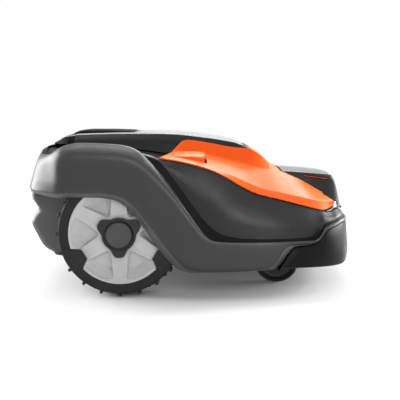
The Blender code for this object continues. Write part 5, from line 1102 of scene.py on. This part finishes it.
def tyre_mesh():
    """A solid rubber tyre with staggered lugs."""
    bm = turned(rounded_profile(TYRE_HALF, TYRE_RADII, TYRE_SEGMENTS), 160)
    for k in range(2 * LUGS_PER_ROW):
        row = 1 if k % 2 == 0 else -1
        middle = 180 * k / LUGS_PER_ROW
        rings = []
        for radius, spread, z0, z1 in LUG_RINGS:
            corners = ((-1, z0), (1, z0), (1, z1), (-1, z1), (-1, z0))
            rings.append([polar(radius, middle + s * spread, row * z) for s, z in corners])
        sheet(rings, bm)
        bm.verts.ensure_lookup_table()
        count = len(bm.verts)
        bm.faces.new(bm.verts[count - 5: count - 1])
    bmesh.ops.remove_doubles(bm, verts=bm.verts[:], dist=MERGE)
    bmesh.ops.recalc_face_normals(bm, faces=bm.faces[:])
    return mesh_of("tyre", bm)


def tabs_mesh():
    """The three rubber wedges of the tyre, each with a softened edge."""
    parts = []
    for angle in TAB_ANGLES:
        outline = tab_outline(angle, 0.0, TREAD_RADIUS - TAB_MARGIN)
        rings = [at_height(outline, RIM_EDGE_Z + z) for z in (-TAB_DEPTH, TAB_PROUD)]
        rings.append(at_height([Vector(p) * TAB_TOP_SHARE for p in outline], RIM_EDGE_Z + TAB_TOP))
        parts.append(stacked(rings))
    return mesh_of("tabs", merged(parts))


def pocket(angle):
    """Return the cutter for one dished pocket between two spokes, a rounded triangle."""
    rings = []
    for z, inner, inner_half, outer, outer_half, crown in POCKET_RINGS:
        corners = ((inner, -inner_half), (outer, -outer_half), (crown, -POCKET_CROWN_ANGLE), (crown, 0),
                   (crown, POCKET_CROWN_ANGLE), (outer, outer_half), (inner, inner_half))
        plan = [polar(radius, angle + turn).xy for radius, turn in corners]
        rings.append(at_height(rounded_outline(plan, POCKET_ROUND, 3), z))
    return stacked(rings)


def rim_mesh():
    """A moulded rim: barrel, spoked web with dished pockets, and a hub boss round the shaft."""
    cuts = [("DIFFERENCE", pocket(60 * k)) for k in range(6)]
    low, high = RIM_EDGE_Z - TAB_DEPTH - TOUCH_GAP, RIM_EDGE_Z + RIM_CUT_OVER
    for angle in TAB_ANGLES:
        outline = tab_outline(angle, TOUCH_GAP, RIM_EDGE_RADIUS + RIM_CUT_OVER)
        cuts.append(("DIFFERENCE", prism(outline, low, high)))
    return finished("rim", turned(RIM_PROFILE, 96), *cuts, ("SOFTEN", (0.0009, 3, 32)))


def hub_mesh():
    """The three-lobed knob that locks the wheel on its shaft, with a round recess for the cap."""
    low = FACE_Z + TOUCH_GAP
    high = low + HUB_DEPTH
    plan = [(x, -y) for x, y in LOBE_PLAN] + list(reversed(LOBE_PLAN))
    lobe = at_height(rounded_outline(plan, 0.003, 3), 0.0)
    edits = []
    for angle in LOBE_ANGLES:
        turn = Matrix.Rotation(math.radians(angle), 3, "Z")
        edits.append(("UNION", prism([turn @ p for p in lobe], low, high - LOBE_DROP)))
    recess = rod((0, 0, high - HUB_SINK), (0, 0, high + HUB_CUT_OVER), HUB_RECESS, 72)
    body = rod((0, 0, low), (0, 0, high), HUB_RADIUS, 72)
    return finished("hub", body, *edits, ("DIFFERENCE", recess), ("SOFTEN", (0.0011, 3, 35)))


def cap_mesh():
    """The plain round cap in the middle of the knob, with a shallow dish and a turned ring."""
    low = FACE_Z + HUB_DEPTH + 2 * TOUCH_GAP - HUB_SINK
    top = low + CAP_HEIGHT
    profile = [(0.0, low), (CAP_RADIUS, low), (CAP_RADIUS, top - 0.0014),
               (CAP_RADIUS - 0.0005, top - 0.0005), (CAP_RADIUS - 0.0014, top),
               *((radius, top - drop) for radius, drop in CAP_RING), (0.0, top)]
    return finished("cap", turned(profile, 72, closed=False))


def rear_wheels():
    """Both driven wheels: tyre, tabs, rim, knob and cap on each side."""
    pieces = (("tyre", tyre_mesh(), TYRE, "rear_tyre", 34), ("tyre_tabs", tabs_mesh(), TYRE, None, 30),
              ("rim", rim_mesh(), RIM_GREY, "rear_rim", 30),
              ("hub_knob", hub_mesh(), DARK, "wheel_hub", 30),
              ("cap_disc", cap_mesh(), CAP_GREY, "hub_cap", 25))
    for name, side in SIDES.items():
        for piece, mesh, material, node, angle in pieces:
            own = mesh.copy()
            own.transform(wheel_frame(side))
            replaced = [f"{node}_{name}"] if node else []
            smooth(put_mesh(f"{piece}_{name}", own, material, f"wheel_{name}", *replaced), angle)


# Front casters

CASTER_X, CASTER_Y, CASTER_RADIUS, CASTER_TRAIL, CASTER_HALF = 0.210, 0.130, 0.049, 0.034, 0.015
CASTER_RIM, CASTER_BORE, CASTER_BOSS, CASTER_WEB = CASTER_RADIUS - 0.008, 0.0046, 0.012, 0.008
CASTER_SEAT = CASTER_RIM + TOUCH_GAP
CASTER_TYRE = ((CASTER_SEAT, 0.0), (CASTER_SEAT, CASTER_HALF - 0.002), (CASTER_RADIUS - 0.003, CASTER_HALF),
               (CASTER_RADIUS, CASTER_HALF - 0.006), (CASTER_RADIUS, 0.0))
CASTER_DISC = ((CASTER_BORE, 0.0), (CASTER_BORE, CASTER_HALF - 0.001), (CASTER_BOSS, CASTER_HALF - 0.001),
               (CASTER_BOSS, CASTER_WEB), (CASTER_RIM - 0.004, CASTER_WEB),
               (CASTER_RIM, CASTER_HALF - 0.003), (CASTER_RIM, 0.0))


def casters():
    """The casters' wheels and tyres, turned finer than the solids."""
    tyre = rounded_profile(CASTER_TYRE, (0.001, 0.004, 0.004), (2, 5, 5))
    disc = rounded_profile(CASTER_DISC, (0.0005, 0.001, 0.003, 0.003, 0.001), (2, 3, 3, 3, 3))
    pieces = (("caster_band", tyre, TYRE, "caster_tyre"), ("caster_disc", disc, DARK, "caster_wheel"))
    for name, side in SIDES.items():
        place = Matrix.Translation((CASTER_X - CASTER_TRAIL, side * CASTER_Y, CASTER_RADIUS))
        spin = place @ Matrix.Rotation(math.radians(90), 4, "X")
        for piece, profile, material, node in pieces:
            obj = put(f"{piece}_{name}", turned(profile, 72), material, f"roller_{name}", f"{node}_{name}")
            obj.data.transform(spin)
            smooth(obj, 32)


# CAD nodes that stay, with a finish of their own

KEPT_STARTS = {
    STEEL: ("hatch_pin", "wheel_motor", "height_motor", "lead_screw", "cutter_shaft", "caster_axle",
            "drive_shaft", "blade_"),
    BRASS: ("caster_bush", "charging_contact"), RUBBER: ("chassis_seal", "float_pillar"),
    BLACK_SOFT: ("control_console", "battery_pack"), BLACK_GLOSS: ("power_button",),
    ORANGE: ("start_button",), LENS: ("display",), BOARD: ("circuit_board",), TAIL_GREY: ("cutting_disc",),
}


def dress_nodes():
    """Give each CAD node that still shows its own finish, dark plastic where none is named."""
    for name, obj in NODES.items():
        named = (finish for finish, starts in KEPT_STARTS.items() if name.startswith(starts))
        obj.data.materials.clear()
        obj.data.materials.append(next(named, DARK))


shell()
panel()
bumper()
nose()
ridge()
hatch()
stop_button()
headlights()
tail()
rear_wheels()
casters()
dress_nodes()


# Stage, light and camera

FLOOR_RADIUS, FLOOR_Z, FLOOR_GRAIN = 9.0, -0.0005, 220.0
FLOOR_NEAR, FLOOR_FAR = 0.62, 1.25
FLOOR_DARK, FLOOR_PALE = (0.86, 0.86, 0.86, 1), (0.90, 0.90, 0.90, 1)
WORLD_SOFT, WORLD_SEEN = 0.25, 1.0


def floor_material():
    """Return a pale floor that keeps the shadow, fades to white far away and is clear from below."""
    made = bpy.data.materials.new("studio_floor")
    made.use_nodes = True
    n = Nodes(made)
    where = n.add("ShaderNodeTexCoord").outputs["Object"]
    away = n.add("ShaderNodeVectorMath", Vector=where)
    away.operation = "LENGTH"
    grain = n.noise(where, FLOOR_GRAIN)
    n.feed(n.shader, "Base Color", n.blend(grain, FLOOR_DARK, FLOOR_PALE))
    n.feed(n.shader, "Roughness", 0.9)
    n.feed(n.shader, "Specular IOR Level", 0.0)
    glow = n.add("ShaderNodeEmission", Color=(1, 1, 1, 1), Strength=1.0)
    far = n.ramp(away.outputs["Value"], FLOOR_NEAR, FLOOR_FAR)
    lit = n.mix(far, n.shader.outputs[0], glow.outputs[0])
    clear = n.add("ShaderNodeBsdfTransparent").outputs[0]
    from_below = n.add("ShaderNodeNewGeometry").outputs["Backfacing"]
    n.wire(n.tree.nodes["Material Output"].inputs["Surface"], n.mix(from_below, lit, clear))
    return made


def stage():
    """A round pale floor under the mower."""
    bm = bmesh.new()
    bmesh.ops.create_circle(bm, cap_ends=True, segments=96, radius=FLOOR_RADIUS)
    floor = linked("floor", mesh_of("floor", bm))
    floor.location = (0, 0, FLOOR_Z)
    floor.data.materials.append(floor_material())


def world():
    """A white surround for the camera and for reflections, and a softer one for the light it gives."""
    made = bpy.data.worlds.new("studio")
    bpy.context.scene.world = made
    made.use_nodes = True
    tree = made.node_tree
    path = tree.nodes.new("ShaderNodeLightPath")
    seen = path.outputs["Is Camera Ray"]
    for kind in ("Is Glossy Ray", "Is Transmission Ray"):
        most = tree.nodes.new("ShaderNodeMath")
        most.operation = "MAXIMUM"
        tree.links.new(seen, most.inputs[0])
        tree.links.new(path.outputs[kind], most.inputs[1])
        seen = most.outputs[0]
    level = tree.nodes.new("ShaderNodeMapRange")
    level.inputs["To Min"].default_value = WORLD_SOFT
    level.inputs["To Max"].default_value = WORLD_SEEN
    tree.links.new(seen, level.inputs["Value"])
    back = tree.nodes["Background"]
    back.inputs["Color"].default_value = (1, 1, 1, 1)
    tree.links.new(level.outputs["Result"], back.inputs["Strength"])


def lamp(name, place, aim, size, power):
    """A large soft lamp."""
    light = bpy.data.lights.new(name, "AREA")
    light.shape = "RECTANGLE"
    light.size, light.size_y = size
    light.energy = power
    obj = linked(name, light)
    obj.location = place
    obj.rotation_mode = "QUATERNION"
    obj.rotation_quaternion = (Vector(aim) - Vector(place)).to_track_quat("-Z", "Y")


CAMERA_AIM = Vector((0.0067, 0.0, 0.1626))
CAMERA_PITCH, CAMERA_WAY, CAMERA_LENS = 8.5, 1.5, 56.2


def camera():
    """A long lens at the photograph's angle: square to the side and a little above."""
    pitch = math.radians(CAMERA_PITCH)
    back = Vector((0, -math.cos(pitch), math.sin(pitch)))
    data = bpy.data.cameras.new("camera")
    data.lens = CAMERA_LENS
    data.sensor_width = 36.0
    obj = linked("camera", data)
    obj.location = CAMERA_AIM + back * CAMERA_WAY
    obj.rotation_mode = "QUATERNION"
    obj.rotation_quaternion = (-back).to_track_quat("-Z", "Y")
    bpy.context.scene.camera = obj


stage()
world()
lamp("top_lamp", (0.05, -0.45, 1.7), (0.0, -0.05, 0.2), (1.5, 0.28), 3.0)
lamp("crest_lamp", (-0.25, 0.28, 1.7), (-0.15, -0.2, 0.3), (1.3, 0.28), 8.0)
lamp("back_lamp", (0.75, 1.5, 1.35), (0.2, 0.0, 0.2), (2.3, 0.7), 19.0)
lamp("rear_lamp", (-1.45, 0.15, 0.62), (-0.3, -0.1, 0.25), (1.1, 1.15), 36.0)
lamp("front_lamp", (1.5, 0.25, 0.5), (0.3, -0.05, 0.14), (0.9, 0.8), 36.0)
lamp("side_lamp", (0.2, -2.0, 1.3), (0.0, 0.0, 0.15), (1.5, 0.8), 10.0)
lamp("flank_lamp", (0.72, -1.8, 0.42), (0.1, -0.2, 0.17), (0.28, 0.5), 5.0)
camera()
bpy.context.scene.view_settings.view_transform = "Standard"
